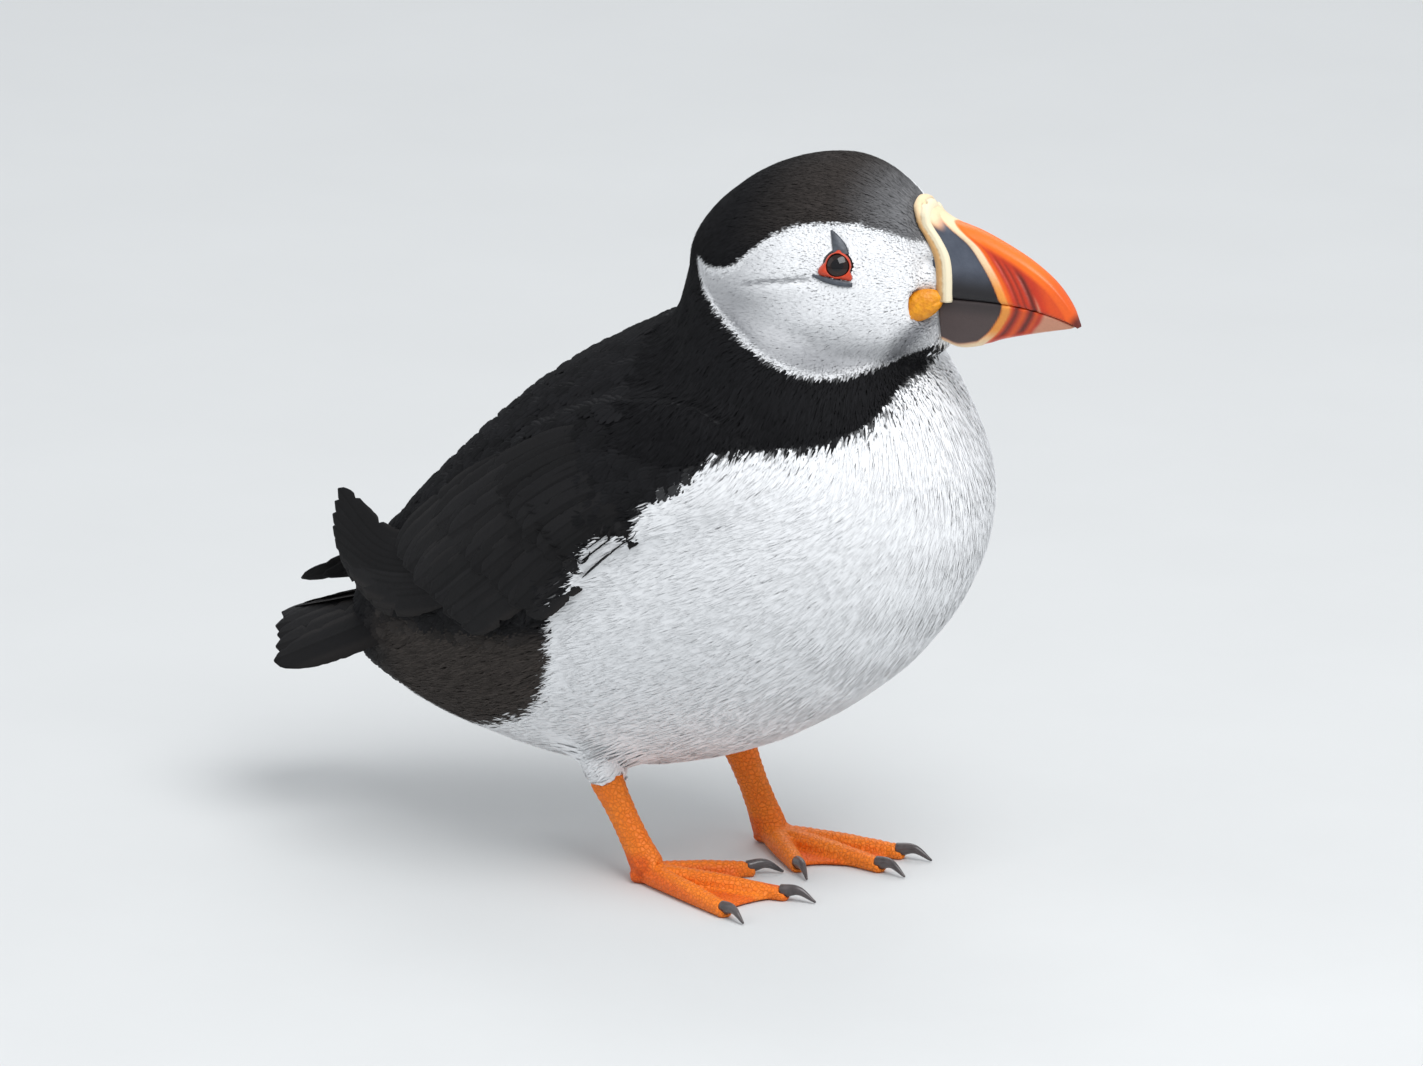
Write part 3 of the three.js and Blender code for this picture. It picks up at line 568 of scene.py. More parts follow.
def skin_depth(points):
    """How far the skin lies under the outer surface of the plumage."""
    x, _, z = points.T
    head = smooth(132, 146, z) * smooth(-8, 6, x)
    back = smooth(-20, -45, x) * smooth(66, 84, z)
    under_bill = smooth(-0.6, 1.2, ahead_of(np.array(BILL_ROOT), side_view(points))) * (z > 140)
    return 1.05 - 0.6 * head + 1.5 * back + 1.6 * under_bill


def unwrap(points):
    """The place of each root on an unwrap of the bird round its axis, as u and v from 0 to 1."""
    line = curve(AXIS, 4)
    _, at = to_line(side_view(points), line)
    total = np.linalg.norm(np.diff(line, axis=0), axis=1)
    reach = np.concatenate([[0], np.cumsum(total)])
    centre = np.stack([np.interp(at, reach, line[:, k]) for k in range(2)], -1)
    ahead = np.stack([np.interp(at, reach, np.gradient(line[:, k])) for k in range(2)], -1)
    ahead = unit(ahead)
    over = (points[:, 0] - centre[:, 0]) * ahead[:, 1] - (points[:, 2] - centre[:, 1]) * ahead[:, 0]
    turn = np.arctan2(points[:, 1], -over) / (2 * math.pi) + 0.5
    return np.stack([0.02 + 0.96 * at / reach[-1], 0.02 + 0.96 * turn], -1)


# ---- Plumage -------------------------------------------------------------------------------------------
PATCH = 0.003  # how large each tuft is on the unwrap
MOST_TRIANGLES = 190000  # in one piece of the coat


def strand_faces(count, stations):
    """Triangles of closed three-sided strands that run through their stations to a point."""
    tip = 3 * (stations - 1)
    one = [[0, 1, 2]]
    for i in range(stations - 2):
        a, b = 3 * i, 3 * i + 3
        for p, q, r, s in ((a, a + 2, b + 2, b), (a + 1, b + 1, b + 2, a + 2), (a, b, b + 1, a + 1)):
            one += [[p, q, r], [p, r, s]]
    last = tip - 3
    one += [[last, last + 2, tip], [last + 1, tip, last + 2], [last, tip, last + 1]]
    one = np.array(one)
    return (one[None] + (np.arange(count) * (tip + 1))[:, None, None]).reshape(-1, 3)


def strands(paths, widths, ups, soft, ridge):
    """Closed strands along paths (n, stations, 3). widths (n, stations - 1) are across, ups (n, 3) point out
    of the skin, and soft is how far their shading follows the skin rather than each strand."""
    count, stations, _ = paths.shape
    ahead = np.gradient(paths, axis=1)
    up = np.repeat(ups[:, None], stations, axis=1)
    side = unit(np.cross(ahead, up))
    rise = unit(np.cross(side, ahead))
    half = widths[..., None] / 2
    base, s, r = paths[:, :-1], side[:, :-1], rise[:, :-1]
    rings = np.stack([base - s * half, base + s * half, base + r * half * 2 * ridge], axis=2)
    own = np.stack([-s * 0.8 + r * 0.2, s * 0.8 + r * 0.2, r], axis=2)
    points = np.concatenate([rings.reshape(count, -1, 3), paths[:, -1:]], axis=1)
    own = np.concatenate([own.reshape(count, -1, 3), rise[:, -1:]], axis=1)
    normals = unit(own * (1 - soft) + ups[:, None] * soft)
    shares = np.linspace(0, 1, stations)
    length = np.concatenate([np.repeat(shares[:-1], 3), shares[-1:]])
    across = np.concatenate([np.tile([-1.0, 1.0, 0.0], stations - 1), [0.0]])
    return points.reshape(-1, 3), strand_faces(count, stations), normals.reshape(-1, 3), length, across


def build_coat(name, slot, material, roots, ups, locks, tone, marks, soft, ridge=0.1):
    """Locks of one part of the plumage as pieces under the triangle limit. locks is their paths and widths,
    tone each one's own lightness and marks its colour; each is unwrapped to a patch at its root's place."""
    paths, widths = locks
    place = unwrap(roots)
    per_strand = 6 * (paths.shape[1] - 2) + 4
    parts = math.ceil(len(paths) / (MOST_TRIANGLES // per_strand))
    order = np.argsort(place[:, 0], kind="stable")
    for number, part in enumerate(np.array_split(order, parts), 1):
        points, faces, normals, length, across = strands(paths[part], widths[part], ups[part], soft, ridge)
        each, count = len(length), len(part)
        uv = np.repeat(place[part], each, axis=0)
        uv += np.tile(np.stack([length - 0.5, across * 0.5], -1), (count, 1)) * PATCH
        lock = np.stack([np.repeat(tone[part], each), np.tile(length, count), np.tile(across, count)], -1)
        attributes = {"markings_and_painted_light": np.repeat(marks[part], each, axis=0), "lock": lock}
        made = build_mesh(f"{name}_{number}", points, faces, attributes, normals, uv)
        finished(made, material, slot)


def lay_locks(surface, roots, ups, length, width, rise, seed, stray):
    """Paths and widths of locks from roots along the lie of the plumage. length and rise are numbers for
    each root; rise is how high the lock's tip lies over the skin."""
    rng = np.random.default_rng(seed)
    count = len(roots)
    flow = lie(roots, ups)
    side = np.cross(flow, ups)
    flow = unit(flow + side * rng.normal(0, stray, (count, 1)))
    reach = (length * rng.uniform(0.8, 1.15, count))[:, None]
    ends, _ = surface.nearest(roots + flow * reach)
    lift = (rise * rng.uniform(0.92, 1.06, count))[:, None, None]
    SHARES, HEIGHTS = np.array([0, 0.22, 1.0]), np.array([-0.1, 0.7, 1.0])
    t = SHARES[None, :, None]
    paths = roots[:, None] * (1 - t) + ends[:, None] * t + ups[:, None] * HEIGHTS[None, :, None] * lift
    bow = rng.normal(0, 0.04, (count, 1, 1)) * reach[:, None]
    paths += side[:, None] * bow * (4 * t * (1 - t))
    widths = (width * rng.uniform(0.8, 1.2, count))[:, None] * np.array([[0.85, 1.0]])
    return paths, widths


def lay_feathers(surface, roots, ups, length, width, rise, seed):
    """Small feathers, each a fan of blunt locks from a shaft out to a rounded edge. Gives the locks' paths
    and widths, and the feather that each lock belongs to."""
    rng = np.random.default_rng(seed)
    count = len(roots)
    flow = lie(roots, ups)
    side = np.cross(flow, ups)
    flow = unit(flow + side * rng.normal(0, 0.1, (count, 1)))
    side = unit(np.cross(flow, ups))
    reach = (length * rng.uniform(0.85, 1.12, count))[:, None]
    half = (width * rng.uniform(0.9, 1.1, count))[:, None] / 2
    ends, _ = surface.nearest(roots + flow * reach)
    shaft = ends - roots
    lift = (rise * rng.uniform(0.85, 1.05, count))[:, None]
    SIDEWAYS = np.linspace(-0.25, 1.25, 4)
    edge = [(a, s) for a in SIDEWAYS for s in (-1, 1)] + [(math.pi / 2, 0)]
    paths, widths = [], []
    for angle, sign in edge:
        end = 0.5 + 0.5 * math.sin(angle)
        out = math.cos(angle) * sign
        start = max(0.0, end - 0.5)
        stations = []
        for t in (0.0, 0.5, 0.88, 1.0):
            at = start + (end - start) * t
            across = out * t**0.85 * half
            height = lift * (-0.1 + 1.08 * min(1, at * 1.5)) - np.abs(across) * 0.1
            stations.append(roots + shaft * at + side * across + ups * height)
        paths.append(np.stack(stations, 1))
        widths.append(np.repeat(half * 0.6, 3, 1) * [0.7, 1.0, 0.8])
    owner = np.tile(np.arange(count), len(edge))
    return np.concatenate(paths), np.concatenate(widths), owner


def vane(path, ups, inner, outer, thick):
    """A closed flight feather along a path (k, 3). ups point out of its upper face; inner and outer are the
    widths of its two webs at each station. Gives points, faces and (along, across) in millimetres."""
    HALF, SHAFT = 4, 0.12  # points across each web, and where a web begins beside the shaft
    k = len(path)
    columns = 2 * HALF + 1
    ahead = unit(np.gradient(path, axis=0))
    side = unit(np.cross(ahead, ups))
    up = unit(np.cross(side, ahead))
    w = np.concatenate([np.linspace(-1, -SHAFT, HALF), [0], np.linspace(SHAFT, 1, HALF)])
    across = np.where(w < 0, w[None] * inner[:, None], w[None] * outer[:, None])
    camber = -0.02 * across**2
    shaft = np.exp(-(across / 0.45)**2) * 0.35 * np.linspace(1, 0.2, k)[:, None]
    body = thick * (1 - 0.75 * np.abs(w)**2)[None] * np.linspace(1, 0.6, k)[:, None]
    sheet = path[:, None] + side[:, None] * across[..., None]
    top = sheet + up[:, None] * (camber + body / 2 + shaft)[..., None]
    low = sheet + up[:, None] * (camber - body / 2)[..., None]
    reach = np.concatenate([[0], np.cumsum(np.linalg.norm(np.diff(path, axis=0), axis=1))])
    ring = np.concatenate([top, low[:, ::-1]], axis=1)
    points = ring.reshape(-1, 3)
    n = 2 * columns
    rows, cols = np.meshgrid(np.arange(k - 1), np.arange(n), indexing="ij")
    a, b = rows * n + cols, rows * n + (cols + 1) % n
    faces = np.stack([a, a + n, b + n, b], -1).reshape(-1, 4)
    caps = []
    for start, turn in ((0, 1), ((k - 1) * n, -1)):
        for c in range(columns - 1):
            caps.append([start + c, start + c + 1, start + n - 2 - c, start + n - 1 - c][::turn])
    lengths = np.repeat(reach, n)
    sideways = np.concatenate([across, across[:, ::-1]], axis=1).reshape(-1)
    return points, np.concatenate([faces, np.array(caps)]), lengths, sideways


class Vanes:
    """Gathers flight feathers and builds them as one piece, each unwrapped into a cell of its own."""

    COLUMNS = 8

    def __init__(self):
        self.points, self.faces, self.locks, self.places, self.count = [], [], [], [], 0

    def add(self, path, ups, inner, outer, thick, tone):
        points, faces, lengths, sideways = vane(path, ups, inner, outer, thick)
        number = len(self.points)
        corner = np.array([number % self.COLUMNS, number // self.COLUMNS]) / self.COLUMNS
        around = np.tile(np.linspace(0, 1, len(points) // len(path)), len(path))
        cell = np.stack([lengths / lengths.max(), around], -1)
        self.places.append(corner + (0.04 + 0.92 * cell) / self.COLUMNS)
        self.faces.append(faces + self.count)
        self.count += len(points)
        self.points.append(points)
        self.locks.append(np.stack([np.full(len(points), tone), lengths, sideways], -1))

    def build(self, name, material, slot, *nodes):
        attributes = {"lock": np.concatenate(self.locks)}
        points, faces, uv = (np.concatenate(part) for part in (self.points, self.faces, self.places))
        made = build_mesh(name, points, faces, attributes, uv=uv)
        return finished(made, material, slot, *nodes)


def webs(stations, width, tip, rng):
    """The widths of a feather's two webs: narrow at the root, rounded at the tip, split here and there."""
    u = np.linspace(0, 1, stations)
    body = 0.5 + 0.5 * smooth(0, 0.4, u)
    end = np.sqrt(np.clip(1 - (np.maximum(u - (1 - tip), 0) / tip)**2, 0.004, 1))
    both = []
    for share in (0.56, 0.44):
        worn = 1 + rng.normal(0, 0.018, stations)
        for _ in range(rng.integers(0, 3)):
            worn -= rng.uniform(0.12, 0.4) * np.exp(-((u - rng.uniform(0.45, 0.95)) / 0.014)**2)
        both.append(width * share * body * end * np.maximum(worn, 0.3))
    return both


# ---- Materials -----------------------------------------------------------------------------------------
class Wire:
    """A value in a material's nodes, on which plain arithmetic adds Math nodes."""

    def __init__(self, finish, socket):
        self.finish, self.socket = finish, socket

    def maths(self, operation, *values):
        return self.finish.node("ShaderNodeMath", {"operation": operation}, dict(enumerate(values)))

    def __add__(self, other):
        return self.maths("ADD", self, other)

    def __sub__(self, other):
        return self.maths("SUBTRACT", self, other)

    def __rsub__(self, other):
        return self.maths("SUBTRACT", other, self)

    def __mul__(self, other):
        return self.maths("MULTIPLY", self, other)

    def __truediv__(self, other):
        return self.maths("DIVIDE", self, other)

    def sine(self):
        return self.maths("SINE", self)

    def size(self):
        return self.maths("ABSOLUTE", self)

    def clamped(self):
        return self.maths("MINIMUM", self.maths("MAXIMUM", self, 0.0), 1.0)

    def step(self, low, high):
        """0 below low and 1 above high, with a soft step between."""
        settings = {"interpolation_type": "SMOOTHSTEP"}
        return self.finish.node("ShaderNodeMapRange", settings, {0: self, 1: low, 2: high, 3: 0.0, 4: 1.0})

    __radd__ = __add__
    __rmul__ = __mul__


class Finish:
    """One material, and the calls that add its nodes."""

    def __init__(self, name, **constants):
        self.material = bpy.data.materials.new(name)
        self.material.use_nodes = True
        self.tree = self.material.node_tree
        self.shader = self.tree.nodes["Principled BSDF"]
        for socket, value in constants.items():
            self.shader.inputs[socket.replace("_", " ")].default_value = value

    def node(self, kind, settings=None, inputs=None, out=0):
        made = self.tree.nodes.new(kind)
        for key, value in (settings or {}).items():
            setattr(made, key, value)
        for key, value in (inputs or {}).items():
            if isinstance(value, Wire):
                self.tree.links.new(value.socket, made.inputs[key])
            else:
                made.inputs[key].default_value = value
        return Wire(self, made.outputs[out])

    def attribute(self, name):
        """The three numbers of a point attribute."""
        vector = self.node("ShaderNodeAttribute", {"attribute_name": name}, out="Vector")
        return [self.node("ShaderNodeSeparateXYZ", None, {0: vector}, out=k) for k in range(3)]

    def place(self):
        return self.node("ShaderNodeTexCoord", out="Object")

    def noise(self, scale, detail):
        inputs = {"Vector": self.place(), "Scale": scale, "Detail": detail, "Roughness": 0.55}
        return self.node("ShaderNodeTexNoise", None, inputs, out="Fac")

    def cells(self, scale, feature="DISTANCE_TO_EDGE"):
        inputs = {"Vector": self.place(), "Scale": scale}
        return self.node("ShaderNodeTexVoronoi", {"feature": feature}, inputs, out="Distance")

    def mix(self, share, first, second):
        """A colour between two others."""
        as_colour = [c if isinstance(c, Wire) else (*c, 1.0) for c in (first, second)]
        inputs = {0: share, 6: as_colour[0], 7: as_colour[1]}
        return self.node("ShaderNodeMix", {"data_type": "RGBA"}, inputs, out=2)

    def dim(self, colour, factor):
        """A colour made lighter or darker by a value."""
        grey = self.node("ShaderNodeCombineXYZ", None, {0: factor, 1: factor, 2: factor})
        return self.node("ShaderNodeVectorMath", {"operation": "MULTIPLY"}, {0: colour, 1: grey})

    def colour(self, wire):
        self.tree.links.new(wire.socket, self.shader.inputs["Base Color"])

    def roughness(self, wire):
        self.tree.links.new(wire.socket, self.shader.inputs["Roughness"])

    def bump(self, height, distance):
        """Relief of the surface; distance is in millimetres."""
        inputs = {"Height": height, "Distance": distance * MM, "Strength": 1.0}
        made = self.node("ShaderNodeBump", None, inputs)
        self.tree.links.new(made.socket, self.shader.inputs["Normal"])


def plumage_colour(finish, colours):
    """The colour of skin or coat from its markings and painted light: white, grey with painted shade and sheen,
    black, and dusky brown over that.
    """
    black, grey, brown = finish.attribute("markings_and_painted_light")
    pale = finish.mix(grey, colours.white, colours.face_grey)
    dark = finish.mix(brown, colours.black, colours.dusky)
    return finish.mix(black, pale, dark), black


def plumage_finish(name, colours, roughness, gloss, sheen):
    """Small feathers: each lock has its own tone, is darker at the root as painted shade under the locks over
    it, and has a fine streak along it.
    """
    finish = Finish(
        name, Roughness=roughness, Specular_IOR_Level=gloss, Sheen_Weight=sheen, Sheen_Roughness=0.5,
    )
    colour, black = plumage_colour(finish, colours)
    tone, length, _ = finish.attribute("lock")
    patches = finish.noise(90.0, 3.0)
    streak = finish.noise(900.0, 2.0)
    # Painted shade: each lock is darker towards its root, where other locks lie over it.
    shade = 0.9 + length.step(0.0, 0.5) * 0.1
    shade = shade * (0.95 + tone * 0.08 + black * (tone - 0.5) * 0.5) * (0.95 + patches * 0.1)
    finish.colour(finish.dim(colour, shade * (0.96 + streak * 0.08)))
    return finish.material


def vane_finish(name, colours):
    """Flight feathers: black-brown, paler at the worn edges, with fine barbs slanting off the shaft."""
    finish = Finish(name, Roughness=0.6, Specular_IOR_Level=0.13)
    tone, length, across = finish.attribute("lock")
    barb = ((length + across.size() * -1.1) * 14.0).sine()
    ragged = finish.noise(700.0, 3.0)
    patches = finish.noise(60.0, 3.0)
    shaft = (1 - (across.size() / 0.55)).clamped()
    edge = across.size().step(2.8, 4.8)
    colour = finish.mix(edge * 0.22 + patches * 0.12, colours.black, colours.dusky)
    shade = (0.7 + tone * 0.6) * (0.94 + barb * 0.06) * (0.85 + ragged * 0.3) * (1 - shaft * 0.35)
    finish.colour(finish.dim(colour, shade))
    finish.bump(barb * 0.2 + ragged * 0.6, 0.1)
    return finish.material


def skin_finish(colours):
    """The skin: plumage colours on the body, orange webs, and scales on the legs."""
    finish = Finish("bird_skin", Roughness=0.7, Specular_IOR_Level=0.35)
    colour, _ = plumage_colour(finish, colours)
    foot, ridge, fold = finish.attribute("foot")
    tone = finish.noise(140.0, 4.0)
    fine = finish.noise(900.0, 3.0)
    scales = finish.cells(950.0).step(0.0, 0.14)
    web = finish.mix((tone * 1.6 - 0.4).clamped(), colours.foot, colours.foot_deep)
    toe = finish.mix(tone, colours.foot_pale, colours.foot)
    # Painted shade: legs and webs are a little darker where their folds sink; the scale edges are dark joints.
    leg = finish.dim(finish.mix(ridge, web, toe), 0.8 + scales * 0.14 + fold * 0.1)
    finish.colour(finish.mix(foot, finish.dim(colour, 0.8 + fine * 0.2), leg))
    finish.roughness(0.75 - foot * 0.3 + fine * 0.1)
    finish.bump(foot * (scales * 0.7 + fold * 0.4) + fine * 0.5, 0.2)
    return finish.material


def bill_finish(name, colours):
    """Horn of the bill: slate plate, cream chevron, red side and orange ridge, with growth lines."""
    finish = Finish(name, Roughness=0.36, Specular_IOR_Level=0.4, Coat_Weight=0.15, Coat_Roughness=0.3)
    plate, chevron, orange = finish.attribute("zones")
    groove, pale, tip = finish.attribute("details")
    dark, warm, lower = finish.attribute("tints_and_gape_shade")
    tone = finish.noise(220.0, 4.0)
    fine = finish.noise(1400.0, 3.0)
    red = finish.mix(tone, colours.bill_red, colours.bill_deep)
    horn = finish.mix(orange, red, colours.bill_orange)
    horn = finish.mix(groove, horn, colours.bill_groove)
    horn = finish.mix(pale, horn, colours.bill_pale)
    horn = finish.mix(tip, horn, finish.mix(lower, colours.bill_groove, colours.bill_pale))
    slate = finish.mix((tone * 1.5 - 0.3).clamped(), colours.slate, colours.slate_pale)
    slate = finish.mix(lower, slate, colours.slate_warm)
    # Painted shade: the slate turns near black towards the gape.
    slate = finish.mix(dark, slate, colours.slate_gape_shade)
    horn = finish.mix(plate, horn, slate)
    horn = finish.mix(chevron, horn, finish.mix(warm, colours.cream, colours.cream_deep))
    finish.colour(finish.dim(horn, 0.9 + fine * 0.2))
    finish.roughness(0.34 + tone * 0.12 + plate * 0.16 + chevron * 0.14)
    finish.bump(tone * 0.6 + fine * 0.4, 0.12)
    return finish.material


def cere_finish(colours):
    """The soft band at the root of the bill: tan behind its groove, pale cream ahead of it."""
    finish = Finish("bill_cere", Roughness=0.6, Specular_IOR_Level=0.35)
    ahead, top, _ = finish.attribute("band")
    tone = finish.noise(500.0, 4.0)
    back = finish.mix((top + tone * 0.5 - 0.25).clamped(), colours.cere_tan, colours.cream)
    front = finish.mix(tone * 0.5, colours.cere, colours.cream)
    colour = finish.mix((ahead + tone * 0.3 - 0.15).step(0.38, 0.56), back, front)
    # Painted shade: the band is darker along the groove between its ridges.
    groove = (1 - ((ahead - 0.47).size() / 0.09)).clamped()
    finish.colour(finish.dim(colour, 0.92 + tone * 0.16 - groove * 0.25))
    finish.bump(tone, 0.15)
    return finish.material


def flesh_finish(name, colour, deep, roughness=0.5, scale=1100.0, depth=0.18, coat=0.0):
    """A soft or horny trim in two tones with a fine grain."""
    finish = Finish(name, Roughness=roughness, Specular_IOR_Level=0.4, Coat_Weight=coat, Coat_Roughness=0.2)
    tone = finish.noise(scale * 0.35, 4.0)
    grain = finish.cells(scale, "F1")
    shade = (tone * 2 - 0.5).clamped()
    finish.colour(finish.mix(shade, colour, deep))
    finish.bump(grain * 0.6 + tone * 0.6, depth)
    return finish.material


def eye_finish(colours):
    """The eyeball: black pupil, dark brown iris with fine rays, under a clear wet surface."""
    finish = Finish(
        "puffin_eye", Roughness=0.1, Specular_IOR_Level=0.3, Coat_Weight=0.25, Coat_Roughness=0.02,
    )
    radius, turn, _ = finish.attribute("gaze")
    rays = ((turn * 46.0).sine() * 0.5 + 0.5) * finish.noise(1500.0, 2.0)
    iris = finish.mix((rays * 1.4).clamped(), colours.eye, colours.eye_deep)
    iris = finish.mix(radius.step(2.4, 3.1), iris, colours.eye_deep)
    finish.colour(finish.mix(radius.step(1.45, 1.6), (0.004, 0.004, 0.005), iris))
    return finish.material


# ---- Sizes and colours that a user would change ---------------------------------------------------------
def length_of(name, description, millimetres):
    return FloatProperty(
        name=name, description=description, default=millimetres * MM, min=0.0001, unit="LENGTH",
    )


def colour_of(name, description, rgb):
    return FloatVectorProperty(
        name=name, description=description, default=rgb, size=3, min=0, max=1, subtype="COLOR",
    )


class PuffinPlumage(bpy.types.PropertyGroup):
    """Lengths and spacing of the small feathers."""

    face: length_of("Face feathers", "Length of the velvety feathers of the cheek", 2.5)
    cap: length_of("Cap feathers", "Length of the feathers of the crown", 3.4)
    collar: length_of("Collar feathers", "Length of the feathers of the neck", 5.2)
    breast: length_of("Breast feathers", "Length of the locks on the breast", 8.5)
    belly: length_of("Belly feathers", "Length of the locks under the belly and on the flanks", 10.5)
    mantle: length_of("Mantle feathers", "Length of the feathers of the back", 9.0)
    head_spacing: length_of("Head spacing", "Distance between feathers on the head", 0.41)
    body_spacing: length_of("Body spacing", "Distance between feathers on the body", 0.76)
    mantle_spacing: length_of("Mantle spacing", "Distance between feathers on the back", 2.5)
    seed: IntProperty(name="Seed", description="Changes how the feathers are scattered", default=7)


class PuffinColours(bpy.types.PropertyGroup):
    """Colours of plumage, bill, eyes and feet."""

    white: colour_of("White", "Breast and belly", (0.86, 0.87, 0.885))
    # This grey also stands for painted shade on the cheek and under the bill, and a painted sheen on the
    # forehead.
    face_grey: colour_of("Face grey", "Shade on the cheek and the eye line", (0.24, 0.245, 0.26))
    black: colour_of("Black", "Mantle, wings and collar", (0.0075, 0.0075, 0.0085))
    dusky: colour_of("Dusky", "Flanks and forehead", (0.045, 0.038, 0.034))
    cere: colour_of("Cere", "Front of the band at the root of the bill", (0.8, 0.74, 0.55))
    cere_tan: colour_of("Cere tan", "Back of the band at the root of the bill", (0.52, 0.3, 0.12))
    cream: colour_of("Chevron", "Upper part of the chevron", (0.86, 0.66, 0.42))
    cream_deep: colour_of("Chevron orange", "Lower part of the chevron", (0.8, 0.3, 0.05))
    slate: colour_of("Slate", "Base plate of the bill", (0.045, 0.055, 0.08))
    slate_pale: colour_of("Pale slate", "Worn parts of the base plate", (0.1, 0.115, 0.15))
    slate_warm: colour_of("Warm slate", "Base plate of the lower half", (0.075, 0.052, 0.05))
    # Painted shade along the gape.
    slate_gape_shade: colour_of("Dark slate", "Base plate along the gape", (0.012, 0.011, 0.013))
    bill_orange: colour_of("Bill orange", "Ridge of the bill", (0.93, 0.16, 0.008))
    bill_red: colour_of("Bill red", "Sides of the bill", (0.66, 0.045, 0.008))
    bill_deep: colour_of("Deep red", "Shaded sides of the bill", (0.4, 0.024, 0.008))
    bill_groove: colour_of("Groove", "Grooves of the bill", (0.12, 0.014, 0.008))
    bill_pale: colour_of("Pale horn", "Growth line, and tip of the lower half", (0.6, 0.27, 0.17))
    rosette: colour_of("Rosette", "Folded skin at the gape", (0.86, 0.36, 0.008))
    rosette_deep: colour_of("Rosette folds", "Between the folds of the gape", (0.6, 0.19, 0.006))
    ring: colour_of("Eye ring", "Bare ring round the eye", (0.7, 0.06, 0.014))
    plate: colour_of("Eye plates", "Horny plates above and below the eye", (0.1, 0.115, 0.14))
    plate_deep: colour_of("Plate shade", "Dark parts of the eye plates", (0.03, 0.034, 0.042))
    eye: colour_of("Iris", "Iris of the eye", (0.022, 0.01, 0.007))
    eye_deep: colour_of("Iris edge", "Dark edge of the iris", (0.006, 0.004, 0.004))
    foot: colour_of("Foot orange", "Webs of the feet", (0.92, 0.17, 0.008))
    foot_deep: colour_of("Foot red", "Folds of the webs", (0.7, 0.09, 0.006))
    foot_pale: colour_of("Foot ridge", "Toes and the front of the leg", (0.95, 0.27, 0.02))
    claw: colour_of("Claw", "Horn of the claws", (0.028, 0.024, 0.024))
    claw_pale: colour_of("Claw edge", "Worn horn of the claws", (0.12, 0.1, 0.1))


class PuffinStage(bpy.types.PropertyGroup):
    """The floor, lights and camera."""

    azimuth: FloatProperty(
        name="Azimuth", description="Turn of the camera from the right side towards the front",
        default=math.radians(28), subtype="ANGLE",
    )
    elevation: FloatProperty(
        name="Elevation", description="Height of the camera over the horizon",
        default=math.radians(16), subtype="ANGLE",
    )
    distance: FloatProperty(
        name="Distance", description="From the camera to the bird", default=6.0, unit="LENGTH",
    )
    view_width: FloatProperty(
        name="View width", description="How much the frame takes in at the bird",
        default=0.35575, unit="LENGTH",
    )
    floor: colour_of("Floor", "Colour of the floor", (0.62, 0.63, 0.63))


# ---- Skin ----------------------------------------------------------------------------------------------
class Model:
    """What the operators hand on to each other while the bird is built."""

    skin = None  # the surface that the plumage is rooted on


def foot_nodes(side):
    toes = [f"toe_{side}_{toe}" for toe in TOES]
    return [f"tarsus_{side}", *toes, f"web_{side}_inner", f"web_{side}_outer"]


def toe_lines(side):
    """The ball of the foot, and the tip of each toe on the floor plane."""
    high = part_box(f"tarsus_{side}")[1]
    toes = {toe: np.array(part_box(f"toe_{side}_{toe}")) / MM - DATUM for toe in TOES}
    ball = np.array([high.x / MM - DATUM[0] - 3.4, centre_of(f"tarsus_{side}")[1], 4.0])
    tips = {}
    for toe, (small, large) in toes.items():
        y = large[1] if abs(large[1] - ball[1]) > abs(small[1] - ball[1]) else small[1]
        tips[toe] = np.array([large[0] - 2, y - 2 * np.sign(y - ball[1]), 2.0])
    return ball, tips


def foot_skin(side):
    """A leg and foot with knuckles, folds across the toes and fine ridges fanning over the webs."""
    points, faces = fused(foot_nodes(side), voxel=0.5, rounds=14, swell=0.16)
    normals = point_normals(points, faces)
    ball, tips = toe_lines(side)
    off_toe = np.full(len(points), np.inf)
    reached = np.zeros(len(points))
    for tip in tips.values():
        line = np.array([ball[:2], tip[:2]])
        away, at = to_line(points[:, :2], line)
        closer = away < off_toe
        off_toe, reached = np.where(closer, away, off_toe), np.where(closer, at, reached)
    low = smooth(9, 6, points[:, 2])
    ridge = smooth(3.4, 1.6, off_toe) * low + (1 - low)
    angle = np.arctan2(points[:, 1] - ball[1], points[:, 0] - ball[0])
    reach = np.linalg.norm(points[:, :2] - ball[:2], axis=1)
    fan = np.sin(angle * 46 + np.sin(reach * 0.5)) * 0.5 + np.sin(angle * 83 - reach * 0.3) * 0.5
    TOE_SCALE, LEG_SCALE, RELIEF, WEB_SINK = 1.9, 1.7, 0.16, 0.3  # millimetres
    rings = np.sin(reached * 2 * math.pi / TOE_SCALE)
    leg = np.sin(points[:, 2] * 2 * math.pi / LEG_SCALE + points[:, 1]) * smooth(7, 10, points[:, 2])
    upper = smooth(-0.2, 0.5, normals[:, 2])
    fold = np.where(ridge > 0.5, rings * low * 0.5 + leg * 0.5, fan * 0.5)
    sunk = WEB_SINK * (1 - ridge) * upper * low
    shift = fold * RELIEF * (upper * low + (1 - low)) - sunk
    points = points + normals * shift[:, None]
    points[:, 2] = np.maximum(points[:, 2], 0)
    return points, faces, np.stack([np.ones(len(points)), ridge, 0.5 + 0.5 * fold], -1)


